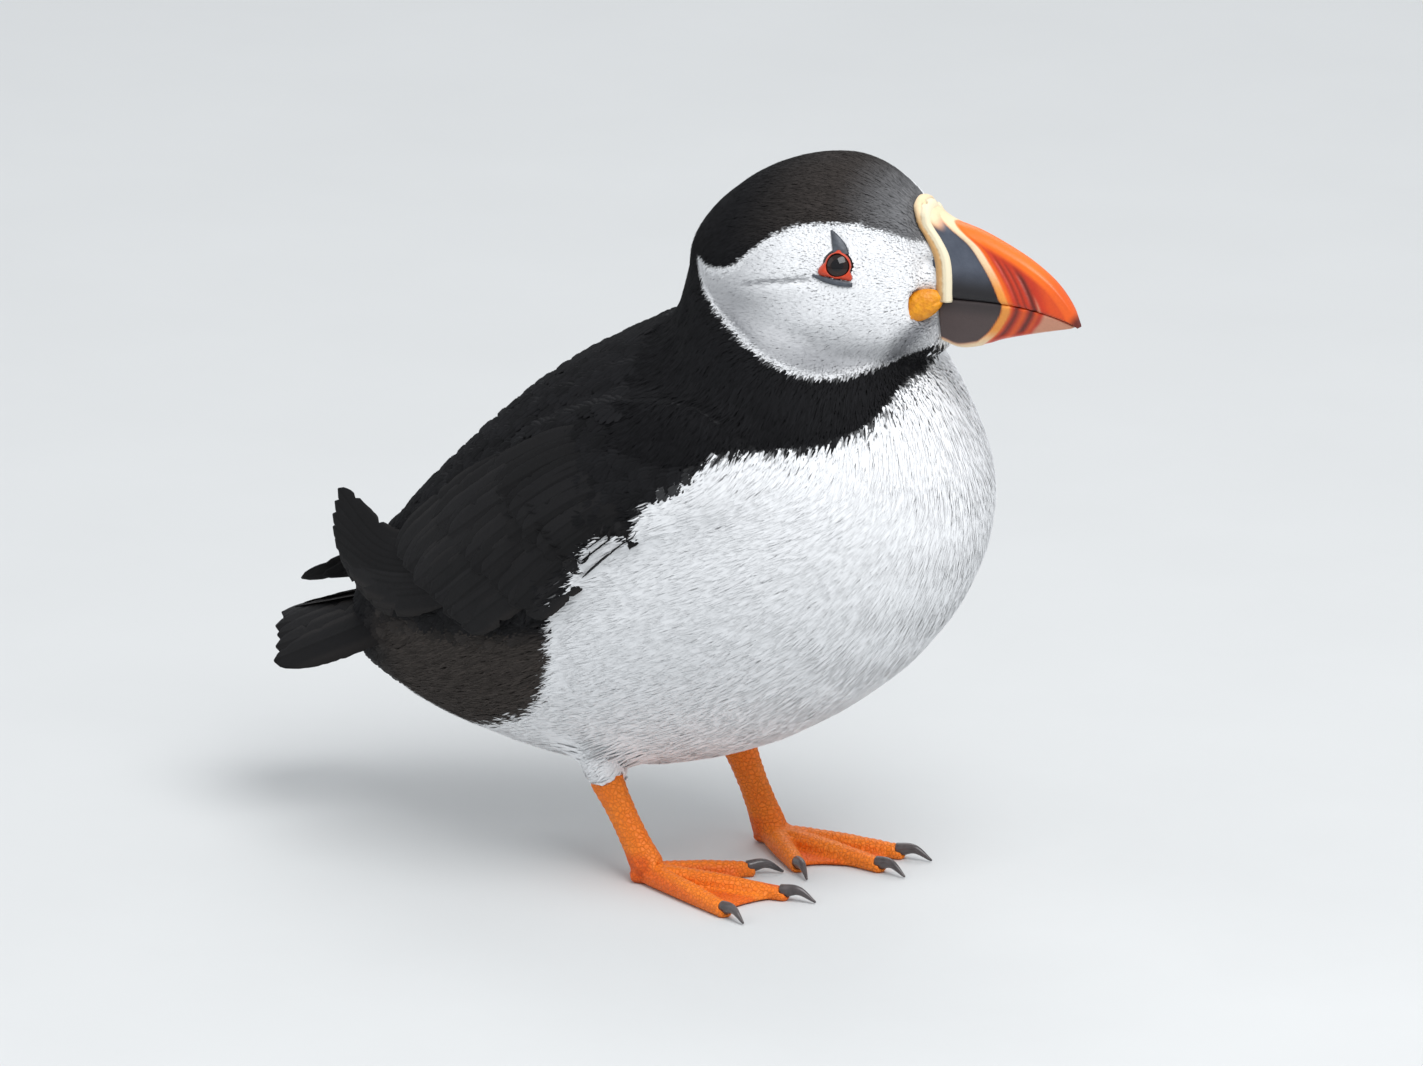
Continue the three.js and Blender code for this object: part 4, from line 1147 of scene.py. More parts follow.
class PUFFIN_OT_skin(bpy.types.Operator):
    """One skin over body, wings, legs and feet, lying inside the solids by the depth of the coat"""

    bl_idname = "puffin.skin"
    bl_label = "Skin"

    def execute(self, context):
        colours = context.scene.puffin_colours
        beneath = ["eye_right", "eye_left", "bill_cere", "bill_upper_plate", "bill_lower_plate"]
        points, faces = fused(BODY_FLESH + beneath, voxel=1.2, rounds=26)
        flat = side_view(points)
        full = smooth(0, -6, DARK_DEPTH(flat)) * smooth(142, 134, flat[:, 1]) * smooth(32, 40, flat[:, 1])
        points = smoothed(points, faces, full[:, None])
        flat = side_view(points)
        groove = 0.7 * np.exp(-(FROM_EYE_LINE(flat) / 1.1)**2) * smooth(27, 8, ALONG_EYE_LINE(flat))
        normals = point_normals(points, faces)
        points = points - normals * (skin_depth(points) + groove)[:, None]
        points = relaxed(points, faces, 3)
        Model.skin = Surface(points, faces, smooth(138, 128, points[:, 2]))
        parts, quads, feet, count = [points], [faces], [np.zeros((len(points), 3))], len(points)
        for side in SIDES:
            p, f, foot = foot_skin(side)
            parts.append(p)
            quads.append(f + count)
            feet.append(foot)
            count += len(p)
        points = np.concatenate(parts)
        marks = markings_and_painted_light(points)
        under_bill = smooth(0.2, 0.8, ahead_of(curve(BILL_ROOT), side_view(points))) * (points[:, 2] > 142)
        marks[:, 0] = np.maximum(marks[:, 0], under_bill)
        attributes = {"markings_and_painted_light": marks, "foot": np.concatenate(feet)}
        made = build_mesh("skin", points, np.concatenate(quads), attributes)
        nodes = BODY_FLESH + [n for side in SIDES for n in foot_nodes(side)]
        finished(made, skin_finish(colours), "plumage_white", *nodes)
        return {"FINISHED"}


# ---- Coat ----------------------------------------------------------------------------------------------
def zone_of(points):
    """Which part of the coat each place belongs to."""
    marks = markings_and_painted_light(points)
    flat = side_view(points)
    x, y, z = points.T
    face = FACE_DEPTH(flat) > 0
    black = marks[:, 0] > 0.5
    neck_line = 141 + 0.25 * (20 - x)
    zone = np.full(len(points), "belly", dtype="<U8")
    zone[~black & (z > 82)] = "breast"
    zone[black & (z > 118) & (x > -14)] = "collar"
    zone[black & (z > neck_line + 12) & (x > -12)] = "cap"
    zone[(z > 166) & (x > 20) & ~face] = "cap"
    zone[black & ((z <= 118) | (x <= -14))] = "mantle"
    zone[black & (marks[:, 2] > 0.5) & (z < 72)] = "flank"
    zone[black & (DARK_DEPTH(flat) < 4) & (z < 108) & (x < 12) & (x > -90)] = "flank"
    zone[face & ~black] = "face"
    zone[(z < 31) & (np.abs(y) > 8)] = "thigh"
    return zone


def ahead_of(line, flat):
    """How far each [x, z] lies ahead of a line that runs down the side of the bill."""
    order = np.argsort(line[:, 1])
    return flat[:, 0] - np.interp(flat[:, 1], line[order, 1], line[order, 0])


def rooted(zone):
    """A test for roots: in a zone, and clear of the bare parts at the eyes, the bill and the gape."""
    ROSETTE_CLEAR = [5.0, 5.4, 3.7]  # how far from a rosette's middle the coat begins
    rosettes = [centre_of(f"rosette_{side}") for side in SIDES]
    shake = {"face": 0.2, "cap": 0.2, "collar": 0.5}.get(zone, 0.8)

    def keep(points, wide):
        if wide:
            shifts = np.array([[0, 0, 0], [2, 0, 0], [-2, 0, 0], [0, 0, 2], [0, 0, -2]])
            return np.any([zone_of(points + shift) == zone for shift in shifts], axis=0)
        rng = np.random.default_rng(3)
        loose = shake + 2.0 * smooth(-27, -38, points[:, :1])
        inside = zone_of(points + rng.normal(0, 1, points.shape) * loose) == zone
        inside &= ~bare_at_eye(points, -0.15)
        for middle in rosettes:
            inside &= np.linalg.norm((points - middle) / ROSETTE_CLEAR, axis=1) > 1
        flat = side_view(points)
        at_bill = (flat[:, 1] > 142.5) & (ahead_of(np.array(BILL_ROOT), flat) > -0.3)
        return inside & ~at_bill

    return keep


def shortened(zone, roots):
    """The share of its full length that each feather of the head has: less near the eyes and the bill, at the
    throat and along the edges of the cheek and the collar."""
    x, _, z = roots.T
    near_eye = np.min([np.linalg.norm(roots - c, axis=1) for c in EYE_CENTRE.values()], axis=0)
    border = np.abs(FACE_DEPTH(side_view(roots)))
    short = (0.5 + 0.5 * smooth(6, 14, near_eye)) * (0.45 + 0.55 * smooth(60, 48, x))
    short = short * (0.3 + 0.7 * smooth(0.2, 4.5, border))
    throat = smooth(48, 54, x) * smooth(126, 132, z) * smooth(146, 142, z)
    short = short * (1 - 0.65 * throat)
    if zone == "collar":
        short = short * (0.3 + 0.7 * smooth(0, 8, DARK_DEPTH(side_view(roots))))
    return short


class PUFFIN_OT_head(bpy.types.Operator):
    """The short velvety feathers of the face, cap and collar"""

    bl_idname = "puffin.head_plumage"
    bl_label = "Head plumage"

    def execute(self, context):
        sizes, colours = context.scene.puffin_plumage, context.scene.puffin_colours
        pale = plumage_finish("face_plumage", colours, 0.75, 0.25, 0.1)
        dark = plumage_finish("cap_plumage", colours, 0.75, 0.1, 0.0)
        gap = sizes.head_spacing / MM
        plans = {
            "face": (sizes.face, gap, 0.57, "plumage_grey", 0.95, pale),
            "cap": (sizes.cap, gap * 1.15, 0.5, "plumage_black", 0.7, dark),
            "collar": (sizes.collar, gap * 1.4, 0.64, "plumage_black", 0.6, dark),
        }
        for number, (zone, (length, spacing, width, slot, soft, material)) in enumerate(plans.items()):
            seed = sizes.seed + number
            roots, ups = Model.skin.roots(spacing, seed, rooted(zone))
            rng = np.random.default_rng(seed)
            short = shortened(zone, roots)
            rise = skin_depth(roots) * (0.6 + 0.4 * short)
            locks = lay_locks(Model.skin, roots, ups, length / MM * short, width, rise, seed, 0.14)
            marks = markings_and_painted_light(roots + rng.normal(0, 0.25, roots.shape))
            tone = rng.random(len(roots))
            build_coat(f"coat_{zone}", slot, material, roots, ups, locks, tone, marks, soft)
        return {"FINISHED"}


def mess(points, rng):
    """A few dirt marks low on the breast: the tone of each lock, below 0 where it is stained."""
    tone = rng.random(len(points))
    x, y, z = points.T
    zone = smooth(78, 62, z) * smooth(16, 26, x) * smooth(30, 10, y)
    stained = rng.random(len(points)) < zone * 0.012
    return np.where(stained, -4.0, tone)


class PUFFIN_OT_body(bpy.types.Operator):
    """The white locks of breast, belly and thighs, and the dusky ones of the flanks"""

    bl_idname = "puffin.body_plumage"
    bl_label = "Body plumage"

    def execute(self, context):
        sizes, colours = context.scene.puffin_plumage, context.scene.puffin_colours
        pale = plumage_finish("body_plumage", colours, 0.8, 0.2, 0.08)
        dark = plumage_finish("flank_plumage", colours, 0.8, 0.12, 0.0)
        gap = sizes.body_spacing / MM
        plans = {
            "breast": (sizes.breast, gap * 0.94, 0.92, "plumage_white", 0.95, 0.1, 1.0, pale),
            "belly": (sizes.belly, gap, 0.95, "plumage_white", 0.94, 0.13, 1.0, pale),
            "flank": (sizes.belly * 0.75, gap, 0.7, "plumage_black", 0.7, 0.16, 1.2, dark),
            "thigh": (sizes.belly * 0.5, gap * 0.8, 0.7, "plumage_white", 0.8, 0.2, 0.9, pale),
        }
        for number, (zone, plan) in enumerate(plans.items()):
            length, spacing, width, slot, soft, stray, lift, material = plan
            seed = sizes.seed + 10 + number
            roots, ups = Model.skin.roots(spacing, seed, rooted(zone))
            rng = np.random.default_rng(seed)
            edge = smooth(0, 8, np.abs(DARK_DEPTH(side_view(roots))))
            size = length / MM * (0.4 + 0.6 * edge) * (1 - 0.5 * smooth(126, 135, roots[:, 2]))
            rise = skin_depth(roots) * lift
            locks = lay_locks(Model.skin, roots, ups, size, width, rise, seed, stray)
            marks = markings_and_painted_light(roots + rng.normal(0, 0.8, roots.shape))
            tone = mess(roots, rng)
            build_coat(f"coat_{zone}", slot, material, roots, ups, locks, tone, marks, soft)
        return {"FINISHED"}


class PUFFIN_OT_mantle(bpy.types.Operator):
    """The black feathers of the back and of the forewing, each a fan of barbs"""

    bl_idname = "puffin.mantle"
    bl_label = "Mantle"

    def execute(self, context):
        sizes, colours = context.scene.puffin_plumage, context.scene.puffin_colours
        material = plumage_finish("mantle_plumage", colours, 0.7, 0.12, 0.0)
        seed = sizes.seed + 20
        roots, ups = Model.skin.roots(sizes.mantle_spacing / MM, seed, rooted("mantle"))
        rng = np.random.default_rng(seed)
        size = sizes.mantle / MM * (1 - 0.3 * smooth(-10, 20, roots[:, 0]))
        rise = skin_depth(roots)
        paths, widths, owner = lay_feathers(Model.skin, roots, ups, size, size * 0.72, rise, seed)
        marks = markings_and_painted_light(roots)
        marks[:, 0] = np.maximum(marks[:, 0], 0.97)
        tone = rng.random(len(roots))[owner] + rng.uniform(-0.2, 0.2, len(owner))
        build_coat(
            "coat_mantle", "plumage_black", material, roots[owner], ups[owner], (paths, widths), tone,
            marks[owner], soft=0.35, ridge=0.3,
        )
        return {"FINISHED"}


# ---- Wings and tail ------------------------------------------------------------------------------------
STATIONS = 40  # along each flight feather
COVERT_ROWS = [  # number of feathers, first and last root, first and last tip, width, height over the wing
    (13, [[-18, 92], [-44, 111]], [[-58, 65], [-85, 77]], 9.5, -0.6),
    (13, [[-6, 97], [-32, 116]], [[-36, 72.5], [-71, 89]], 8.5, -0.2),
    (14, [[4, 101], [-20, 120]], [[-19, 83.5], [-54, 102]], 7.5, 0.1),
]


def wing_surface(side):
    points, faces = merged_nodes([f"wing_{side}_arm", f"wing_{side}_hand", "trunk", "rump"], 0.0)
    return Surface(points, faces)


def laid_path(surface, side, flat, height):
    """A smooth path over the wing through [x, z] places, at a height over its outer surface, with the
    outward direction at each place."""
    sign = SIDES[side]
    out = surface.from_side(flat, sign)
    good = ~np.isnan(out)
    out = np.interp(np.arange(len(flat)), np.nonzero(good)[0], out[good])
    KERNEL = np.array([0.25, 0.5, 0.25])
    for _ in range(4):
        out = np.convolve(np.concatenate([out[:1], out, out[-1:]]), KERNEL, "valid")
    path = np.stack([flat[:, 0], sign * (out + height), flat[:, 1]], -1)
    _, normals = surface.nearest(path)
    outward = unit(np.stack([0 * out, np.full(len(out), 1.0 * sign), 0 * out], -1) + normals)
    for _ in range(4):
        outward[1:-1] = unit(outward[:-2] + 2 * outward[1:-1] + outward[2:])
    return path, outward


def primary_path(side, place, stations):
    """A flight feather of the hand, from under the coverts along the flank to its free tip. place is the
    feather's number among the solid ones, and may lie between two of them."""
    to = along(PRIMARIES[side]["tips"], place / (len(PRIMARIES[side]["tips"]) - 1))
    start = np.array(PRIMARY["root"]) + place * np.array(PRIMARY["root_step"])
    sag = max(0.0, to[2] - 60) * 0.3
    middle = start + (to - start) * 0.62 + [0, 2, -sag]
    path = along([start, middle, to], np.linspace(0, 1, stations))
    return path * [1, SIDES[side], 1]


class PUFFIN_OT_wings(bpy.types.Operator):
    """The flight feathers of both wings: primaries out to the tips, secondaries and coverts over them"""

    bl_idname = "puffin.wings"
    bl_label = "Wings"

    def execute(self, context):
        material = vane_finish("flight_feathers", context.scene.puffin_colours)
        for side, sign in SIDES.items():
            rng = np.random.default_rng(31 + sign)
            surface = wing_surface(side)
            vanes = Vanes()
            self.primaries(vanes, side, rng)
            for row in COVERT_ROWS:
                self.coverts(vanes, surface, side, rng, *row)
            vanes.build(f"flight_feathers_{side}", material, "plumage_black", f"wing_{side}_hand")
        return {"FINISHED"}

    def primaries(self, vanes, side, rng):
        """The long feathers of the hand, with one more between each two of the solid ones."""
        THICK, ROUNDED, roll = 0.5, 0.4, PRIMARIES[side]["roll"]
        last_place = len(PRIMARIES[side]["tips"]) - 1
        for place in np.linspace(0, last_place, 2 * last_place + 1):
            path = primary_path(side, place, STATIONS)
            ahead = unit(np.gradient(path, axis=0))
            across = unit(np.cross(ahead, [0, 0, 1.0]))
            upright = unit(np.cross(across, ahead))
            ups = unit(across * SIDES[side] * math.cos(roll) + upright * math.sin(roll))
            ups = ups * np.sign(ups[:, 1:2] * SIDES[side])
            vanes.add(path, ups, *webs(STATIONS, PRIMARY["width"], ROUNDED, rng), THICK, rng.random())

    def coverts(self, vanes, surface, side, rng, count, roots, tips, width, height):
        """One row over the wing: its feathers' roots and tips are shared out between the row's two ends."""
        THICK, ROUNDED, shares = 0.35, 0.2, np.linspace(0, 1, STATIONS)
        for i in range(count):
            share = i / (count - 1)
            first, last = (np.array(a) * (1 - share) + np.array(b) * share for a, b in (roots, tips))
            first, last = first + rng.normal(0, 0.6, 2), last + rng.normal(0, 0.8, 2)
            flat = along([first, (first + last) / 2 + [0, 1.5], last], shares)
            lift = height + 0.1 * (i % 2) + np.interp(shares, [0, 0.35, 1], [-2.2, 0, 0.2])
            lift = lift - 2.6 * smooth(1.5, -1, DARK_DEPTH(flat))  # past the dark edge they dip under the white
            path, ups = laid_path(surface, side, flat, lift)
            ups = unit(ups + [0, 0, 0.1])
            vanes.add(path, ups, *webs(STATIONS, width, ROUNDED, rng), THICK, rng.random())


class PUFFIN_OT_tail(bpy.types.Operator):
    """The short fan of the tail"""

    bl_idname = "puffin.tail"
    bl_label = "Tail"

    def execute(self, context):
        material = vane_finish("tail_vanes", context.scene.puffin_colours)
        vanes = Vanes()
        rng = np.random.default_rng(5)
        count = TAIL["feathers"]
        for i in range(count):
            share = (i + 0.5) / count - 0.5
            length = TAIL["length"] * (1 - TAIL["rounding"] * share**2) * rng.uniform(0.95, 1.0)
            pitch = math.radians(TAIL["pitch"] + TAIL["fall"] * (2 * share)**2)
            turn = math.pi - math.radians(share * TAIL["spread"])
            reach = np.linspace(0, length, STATIONS)
            drop = -TAIL["arch"] * share**2 - TAIL["step"] * abs(i - (count - 1) / 2)
            x, y = np.cos(turn) * reach, np.sin(turn) * reach + share * TAIL["root_width"]
            level = x * math.cos(pitch) - drop * math.sin(pitch), x * math.sin(pitch) + drop * math.cos(pitch)
            path = np.stack([level[0], y, level[1]], -1) + TAIL["root"]
            tilt = math.copysign(math.sqrt(abs(2 * share)), share) * TAIL["tile"]
            up = unit(np.array([-math.sin(pitch), math.sin(tilt), math.cos(pitch) * math.cos(tilt)]))
            both = webs(STATIONS, TAIL["width"], 0.4, rng)
            vanes.add(path, np.tile(up, (STATIONS, 1)), *both, 0.5, rng.random())
        vanes.build("tail_feathers", material, "plumage_black", "tail")
        return {"FINISHED"}


# ---- Bill ----------------------------------------------------------------------------------------------
def globe(rings, around):
    """The angles from the pole, as a column, and round it, as a row, of a globe's points."""
    polar = np.linspace(0, math.pi, rings + 2)[1:-1]
    turn = np.linspace(0, 2 * math.pi, around, endpoint=False)
    return polar[:, None], turn[None]


def closed_rings(rings, start, end):
    """Faces over rings of equal count with a point at each end; points follow as [start, rings, end]."""
    k, n = rings.shape[:2]
    points = np.concatenate([start[None], rings.reshape(-1, 3), end[None]])
    rows, cols = np.meshgrid(np.arange(k - 1), np.arange(n), indexing="ij")
    a, b = 1 + rows * n + cols, 1 + rows * n + (cols + 1) % n
    quads = np.stack([a, b, b + n, a + n], -1).reshape(-1, 4)
    c = np.arange(n)
    last = 1 + (k - 1) * n
    fans = [
        np.stack([0 * c, 1 + (c + 1) % n, 1 + c], -1),
        np.stack([0 * c + len(points) - 1, last + c, last + (c + 1) % n], -1),
    ]
    middle = points.mean(axis=0)
    face = points[quads]
    outward = np.sum(face_normals(points, quads) * (face.mean(axis=1) - middle))
    if outward < 0:
        quads, fans = quads[:, ::-1], [f[:, ::-1] for f in fans]
    return points, [quads, np.concatenate(fans)]


def bill_half(levels, wide, thin):
    """How thick half the bill is at levels from its cutting edge, 0, to its ridge, 1. The levels come back
    closer together towards the ridge, which is rounded over."""
    ROUND_FROM = 0.86
    v = 1 - (1 - levels)**1.35
    half = wide[:, None] + (thin - wide)[:, None] * np.clip(v, 0, 1)[None]**1.25
    rounding = (np.maximum(v - ROUND_FROM, 0) / (1 - ROUND_FROM))**2
    return v, half * np.sqrt(np.clip(1 - rounding, 0.0, 1))[None]


def mandible(ridge, edge):
    """Half a bill as rings that run up one side from the cutting edge to the ridge and down the other."""
    RINGS, LEVELS = 110, 46
    u = np.linspace(0, 1, RINGS)
    low, high = along(edge["line"], u), along(ridge["line"], u)
    wide, thin = value_along(edge["half"], u), value_along(ridge["half"], u)
    v, half = bill_half(np.linspace(0, 1, LEVELS), wide, thin)
    half = half * (1 - 0.1 * np.exp(-v / 0.03))[None]
    flat = low[:, None] + (high - low)[:, None] * v[None, :, None]
    side = np.stack([flat[..., 0], half, flat[..., 1]], -1)
    other = (side * [1, -1, 1])[:, ::-1]
    whole = np.concatenate([side, other[:, 1:]], axis=1)
    middle = (low + high) / 2
    start = np.array([middle[0, 0] - 1, 0, middle[0, 1]])
    end = np.array([middle[-1, 0] + 0.6, 0, middle[-1, 1]])
    return closed_rings(whole, start, end)


def ahead_of_chevron(flat):
    """How far each [x, z] lies ahead of the chevron, measured along x."""
    return ahead_of(curve(CHEVRON, 8), flat)


def carve_bill(points, faces, lower):
    """Raises the chevron and cuts the grooves, and gives the colour zones of the horn."""
    flat = side_view(points)
    x, z = flat.T
    ahead = ahead_of_chevron(flat)
    from_ridge, _ = to_line(flat, curve(GONYS["line"] if lower else CULMEN["line"], 8))
    band = smooth(SLATE_FRONT - 0.25, SLATE_FRONT + 0.25, ahead) * smooth(0.25, -0.25, ahead)
    plate = smooth(SLATE_FRONT + 0.25, SLATE_FRONT - 0.25, ahead)
    if lower:
        rim = smooth(1.7, 1.0, from_ridge) * smooth(0.5, -1, ahead)
        grooves = [(1.6, 0.9, 0.7), (5.4, 1.0, 0.8)]
        fade = smooth(0.3, 1.5, from_ridge)
        pale = np.zeros(len(points))
        tip = smooth(7.6, 8.8, ahead - 0.5 * smooth(2, 5, z - 149))
        orange = 0.45 * np.exp(-((ahead - 3.6) / 0.8)**2) + 0.35 * np.exp(-((ahead - 6.9) / 0.6)**2)
        orange = orange + 0.5 * smooth(1.0, 0.2, ahead) * smooth(-0.2, 0.2, ahead)
        warm = smooth(146, 151, z)
        # Painted shade: the lower plate darkens towards the gape.
        dark = smooth(152.5, 157, z) * 0.6
    else:
        rim = smooth(2.9, 1.9, from_ridge) * smooth(2.5, -1.5, x - 58.6)
        grooves = [(2.6, 0.6, 0.45), (4.2, 0.6, 0.4), (6.3, 1.0, 0.75)]
        fade = smooth(2.2, 4.2, from_ridge)
        pale = np.exp(-((ahead - 7.6) / 0.33)**2) * smooth(4.6, 6.6, from_ridge) * 0.9
        tip = smooth(93.4, 96.2, x + (154.5 - z) * 0.6)
        orange = smooth(2.9, 1.5, from_ridge) * (1 - 0.45 * smooth(84, 93, x))
        orange = np.maximum(orange, 0.7 * smooth(-0.2, 0.2, ahead) * smooth(1.7, 0.7, ahead))
        orange = np.maximum(orange, 0.25 * smooth(8.2, 11, ahead))
        warm = smooth(170, 160, z)
        # Painted shade: the upper plate darkens towards the gape.
        dark = smooth(167, 160, z)
    band, plate = np.maximum(band, rim), plate * (1 - rim)
    cut = np.zeros(len(points))
    for offset, strength, half in grooves:
        cut = np.maximum(cut, strength * np.exp(-((ahead - offset) / half)**2))
    cut = cut * fade
    normals = point_normals(points, triangles(faces[0]))
    swell = 0.26 * band - 0.38 * cut - 0.1 * plate
    swell = swell + 0.1 * smooth(0.2, 1.0, ahead) * smooth(2.2, 1.4, ahead) + 0.12 * pale
    sideways = np.abs(normals[:, 1]) > 0.2
    points = points + normals * np.where(sideways, swell, swell * 0.3)[:, None]
    behind = smooth(0.6, -0.6, ahead_of(curve(BILL_ROOT), flat))
    points[:, 1] = points[:, 1] * (1 - 0.1 * behind)
    zones = np.stack([plate, band, np.clip(orange, 0, 1)], -1)
    details = np.stack([cut, pale * (1 - band), tip * (1 - band)], -1)
    tints_and_gape_shade = np.stack([dark, warm, np.full(len(points), float(lower))], -1)
    return points, {"zones": zones, "details": details, "tints_and_gape_shade": tints_and_gape_shade}


def cere_band():
    """The soft band that wraps the root of the upper bill: two ridges with a groove between them. Gives its
    points, faces, and how far ahead and up each point lies on it."""
    LEVELS, SECTION = 60, 15
    lines = {key: np.array(rail["line"]) for key, rail in (("low", UPPER_EDGE), ("high", CULMEN))}
    u = np.linspace(-0.16, 0.3, 60)
    low, high = (
        np.where(u[:, None] < 0, p[0] + (p[0] - p[1]) * -u[:, None] * (len(p) - 1), along(p, u))
        for p in lines.values()
    )
    wide, thin = value_along(UPPER_EDGE["half"], u), value_along(CULMEN["half"], u)
    v, half = bill_half(np.linspace(-0.03, 1, LEVELS), wide, thin)
    flat = low[:, None] + (high - low)[:, None] * v[None, :, None]
    sheet = np.stack([flat[..., 0], half, flat[..., 1]], -1)
    sheet = np.concatenate([sheet * [1, -1, 1], sheet[:, -2::-1]], axis=1)
    root = curve(BILL_ROOT, 8)
    back = np.stack([ahead_of(root, column[:, [0, 2]]) for column in sheet.transpose(1, 0, 2)])
    shares = np.linspace(0, 1, SECTION)
    top = np.concatenate([v, v[-2::-1]])
    outer = np.array([
        [[np.interp(t * CERE_WIDTH, away, column[:, k]) for k in range(3)] for t in shares]
        for away, column in zip(back, sheet.transpose(1, 0, 2))
    ])
    normals = unit(np.cross(np.gradient(outer, axis=1), np.gradient(outer, axis=0)))
    middle = outer.mean(axis=(0, 1))
    normals = normals * np.sign(np.sum(normals * (outer - middle)))
    ridges = 0.62 * np.sin(np.pi * shares)**0.45 + 0.3 * (1 - np.cos(4 * np.pi * shares)) / 2
    raised = outer + normals * ridges[None, :, None]
    place, facing = Model.skin.nearest(raised.reshape(-1, 3))
    clear = np.sum((raised.reshape(-1, 3) - place) * facing, -1).reshape(raised.shape[:2])
    bulge = 0.55 + 0.35 * np.sin(np.pi * np.clip(shares / 0.5, 0, 1))
    lacking = np.clip(bulge * smooth(0.9, 0.45, shares) - clear, 0, 3)
    raised = raised + facing.reshape(raised.shape) * lacking[..., None]
    sunk = outer - normals * 0.7
    rings = np.concatenate([raised, sunk[:, ::-1]], axis=1)
    points, faces = closed_rings(rings, rings[0].mean(axis=0), rings[-1].mean(axis=0))
    ahead = np.tile(np.concatenate([shares, shares[::-1]]), len(rings))
    level = np.repeat(smooth(0.72, 0.95, top), 2 * SECTION)
    band = np.stack([ahead, level, 0 * level], -1)
    return points, faces, np.concatenate([band[:1], band, band[-1:]])


class PUFFIN_OT_bill(bpy.types.Operator):
    """The horn of the bill with its chevron and grooves, the band at its root and the folds at the gape"""

    bl_idname = "puffin.bill"
    bl_label = "Bill"

    def execute(self, context):
        colours = context.scene.puffin_colours
        material = bill_finish("bill_horn", colours)
        halves = (("upper", CULMEN, UPPER_EDGE, False), ("lower", GONYS, LOWER_EDGE, True))
        for name, ridge, edge, lower in halves:
            points, faces = mandible(ridge, edge)
            points, attributes = carve_bill(points, faces, lower)
            made = build_mesh(f"bill_{name}", points, faces, attributes)
            finished(made, material, "bill_red", f"bill_{name}_plate", f"bill_{name}_tip")
        points, faces, band = cere_band()
        made = build_mesh("cere", points, faces, {"band": band})
        finished(made, cere_finish(colours), "bill_cere", "bill_cere")
        folds = flesh_finish("gape_fold", colours.rosette, colours.rosette_deep, 0.5, 1300.0, 0.25, 0.1)
        for side, sign in SIDES.items():
            finished(self.rosette(side, sign), folds, "gape_rosette", f"rosette_{side}")
        return {"FINISHED"}

    def rosette(self, side, sign):
        """The folded yellow skin at the corner of the mouth: an almond with its point back and down."""
        LENGTH, HEIGHT, THICK, LEAN, HEADING = 5.4, 3.7, 2.5, 0.55, 0.42
        RINGS, AROUND = 44, 72
        polar, turn = globe(RINGS, AROUND)
        reach = np.sin(polar)
        point = 1 + 0.52 * np.exp(-((turn - math.pi) / 0.4)**2) * reach
        blunt = 1 + 0.08 * np.cos(turn) * reach
        slit = np.exp(-((turn - math.pi * 2 + 0.25) / 0.12)**2) + np.exp(-((turn + 0.25) / 0.12)**2)
        wrinkle = 0.05 * np.sin(np.cos(turn) * reach * 16 + np.sin(turn) * 3) * reach
        ahead = LENGTH * reach * np.cos(turn) * point * blunt
        up = HEIGHT * reach * np.sin(turn) * (1 + 0.12 * np.sin(turn))
        out = THICK * np.cos(polar) * (1 + wrinkle) - 0.6 * slit * reach**2 * (polar < math.pi / 2)
        ahead, up = ahead * math.cos(LEAN) - up * math.sin(LEAN), ahead * math.sin(LEAN) + up * math.cos(LEAN)
        forward = np.array([math.cos(HEADING), -sign * math.sin(HEADING), 0])
        outward = np.array([math.sin(HEADING), sign * math.cos(HEADING), 0])
        rings = ahead[..., None] * forward + up[..., None] * [0, 0, 1.0] + out[..., None] * outward
        middle = centre_of(f"rosette_{side}") + [-0.3, 0, -0.5]
        points, faces = closed_rings(rings, outward * THICK, -outward * THICK)
        return build_mesh(f"rosette_fold_{side}", points + middle, faces)


# ---- Eyes ----------------------------------------------------------------------------------------------
def in_eye_frame(side, flat, heights):
    """Points from [forwards, up] offsets and heights outwards from the middle of the eyeball."""
    ball, forward, up, out = eye_frame(side)
    return ball + flat[..., :1] * forward + flat[..., 1:] * up + heights[..., None] * out


def plate_over_eye(side, plate, thick, base):
    """A domed horny plate along its line, lying at a height over the eye's middle."""
    shares = np.linspace(0, 1, 26)
    mid = along(plate["line"], shares)
    half = value_along(plate["halves"], shares)
    ahead = unit(np.gradient(mid, axis=0))
    across = np.stack([-ahead[:, 1], ahead[:, 0]], -1)
    turn = np.linspace(0, 2 * math.pi, 20, endpoint=False)
    flat = mid[:, None] + across[:, None] * (np.cos(turn)[None] * half[:, None])[..., None]
    body = np.sin(turn)[None] * thick * (half / max(half))[:, None]**0.5
    height = base - 0.018 * np.sum(flat**2, -1) + body
    rings = in_eye_frame(side, flat, height)
    start = rings[0].mean(axis=0)
    end = rings[-1].mean(axis=0)
    return closed_rings(rings, start, end)


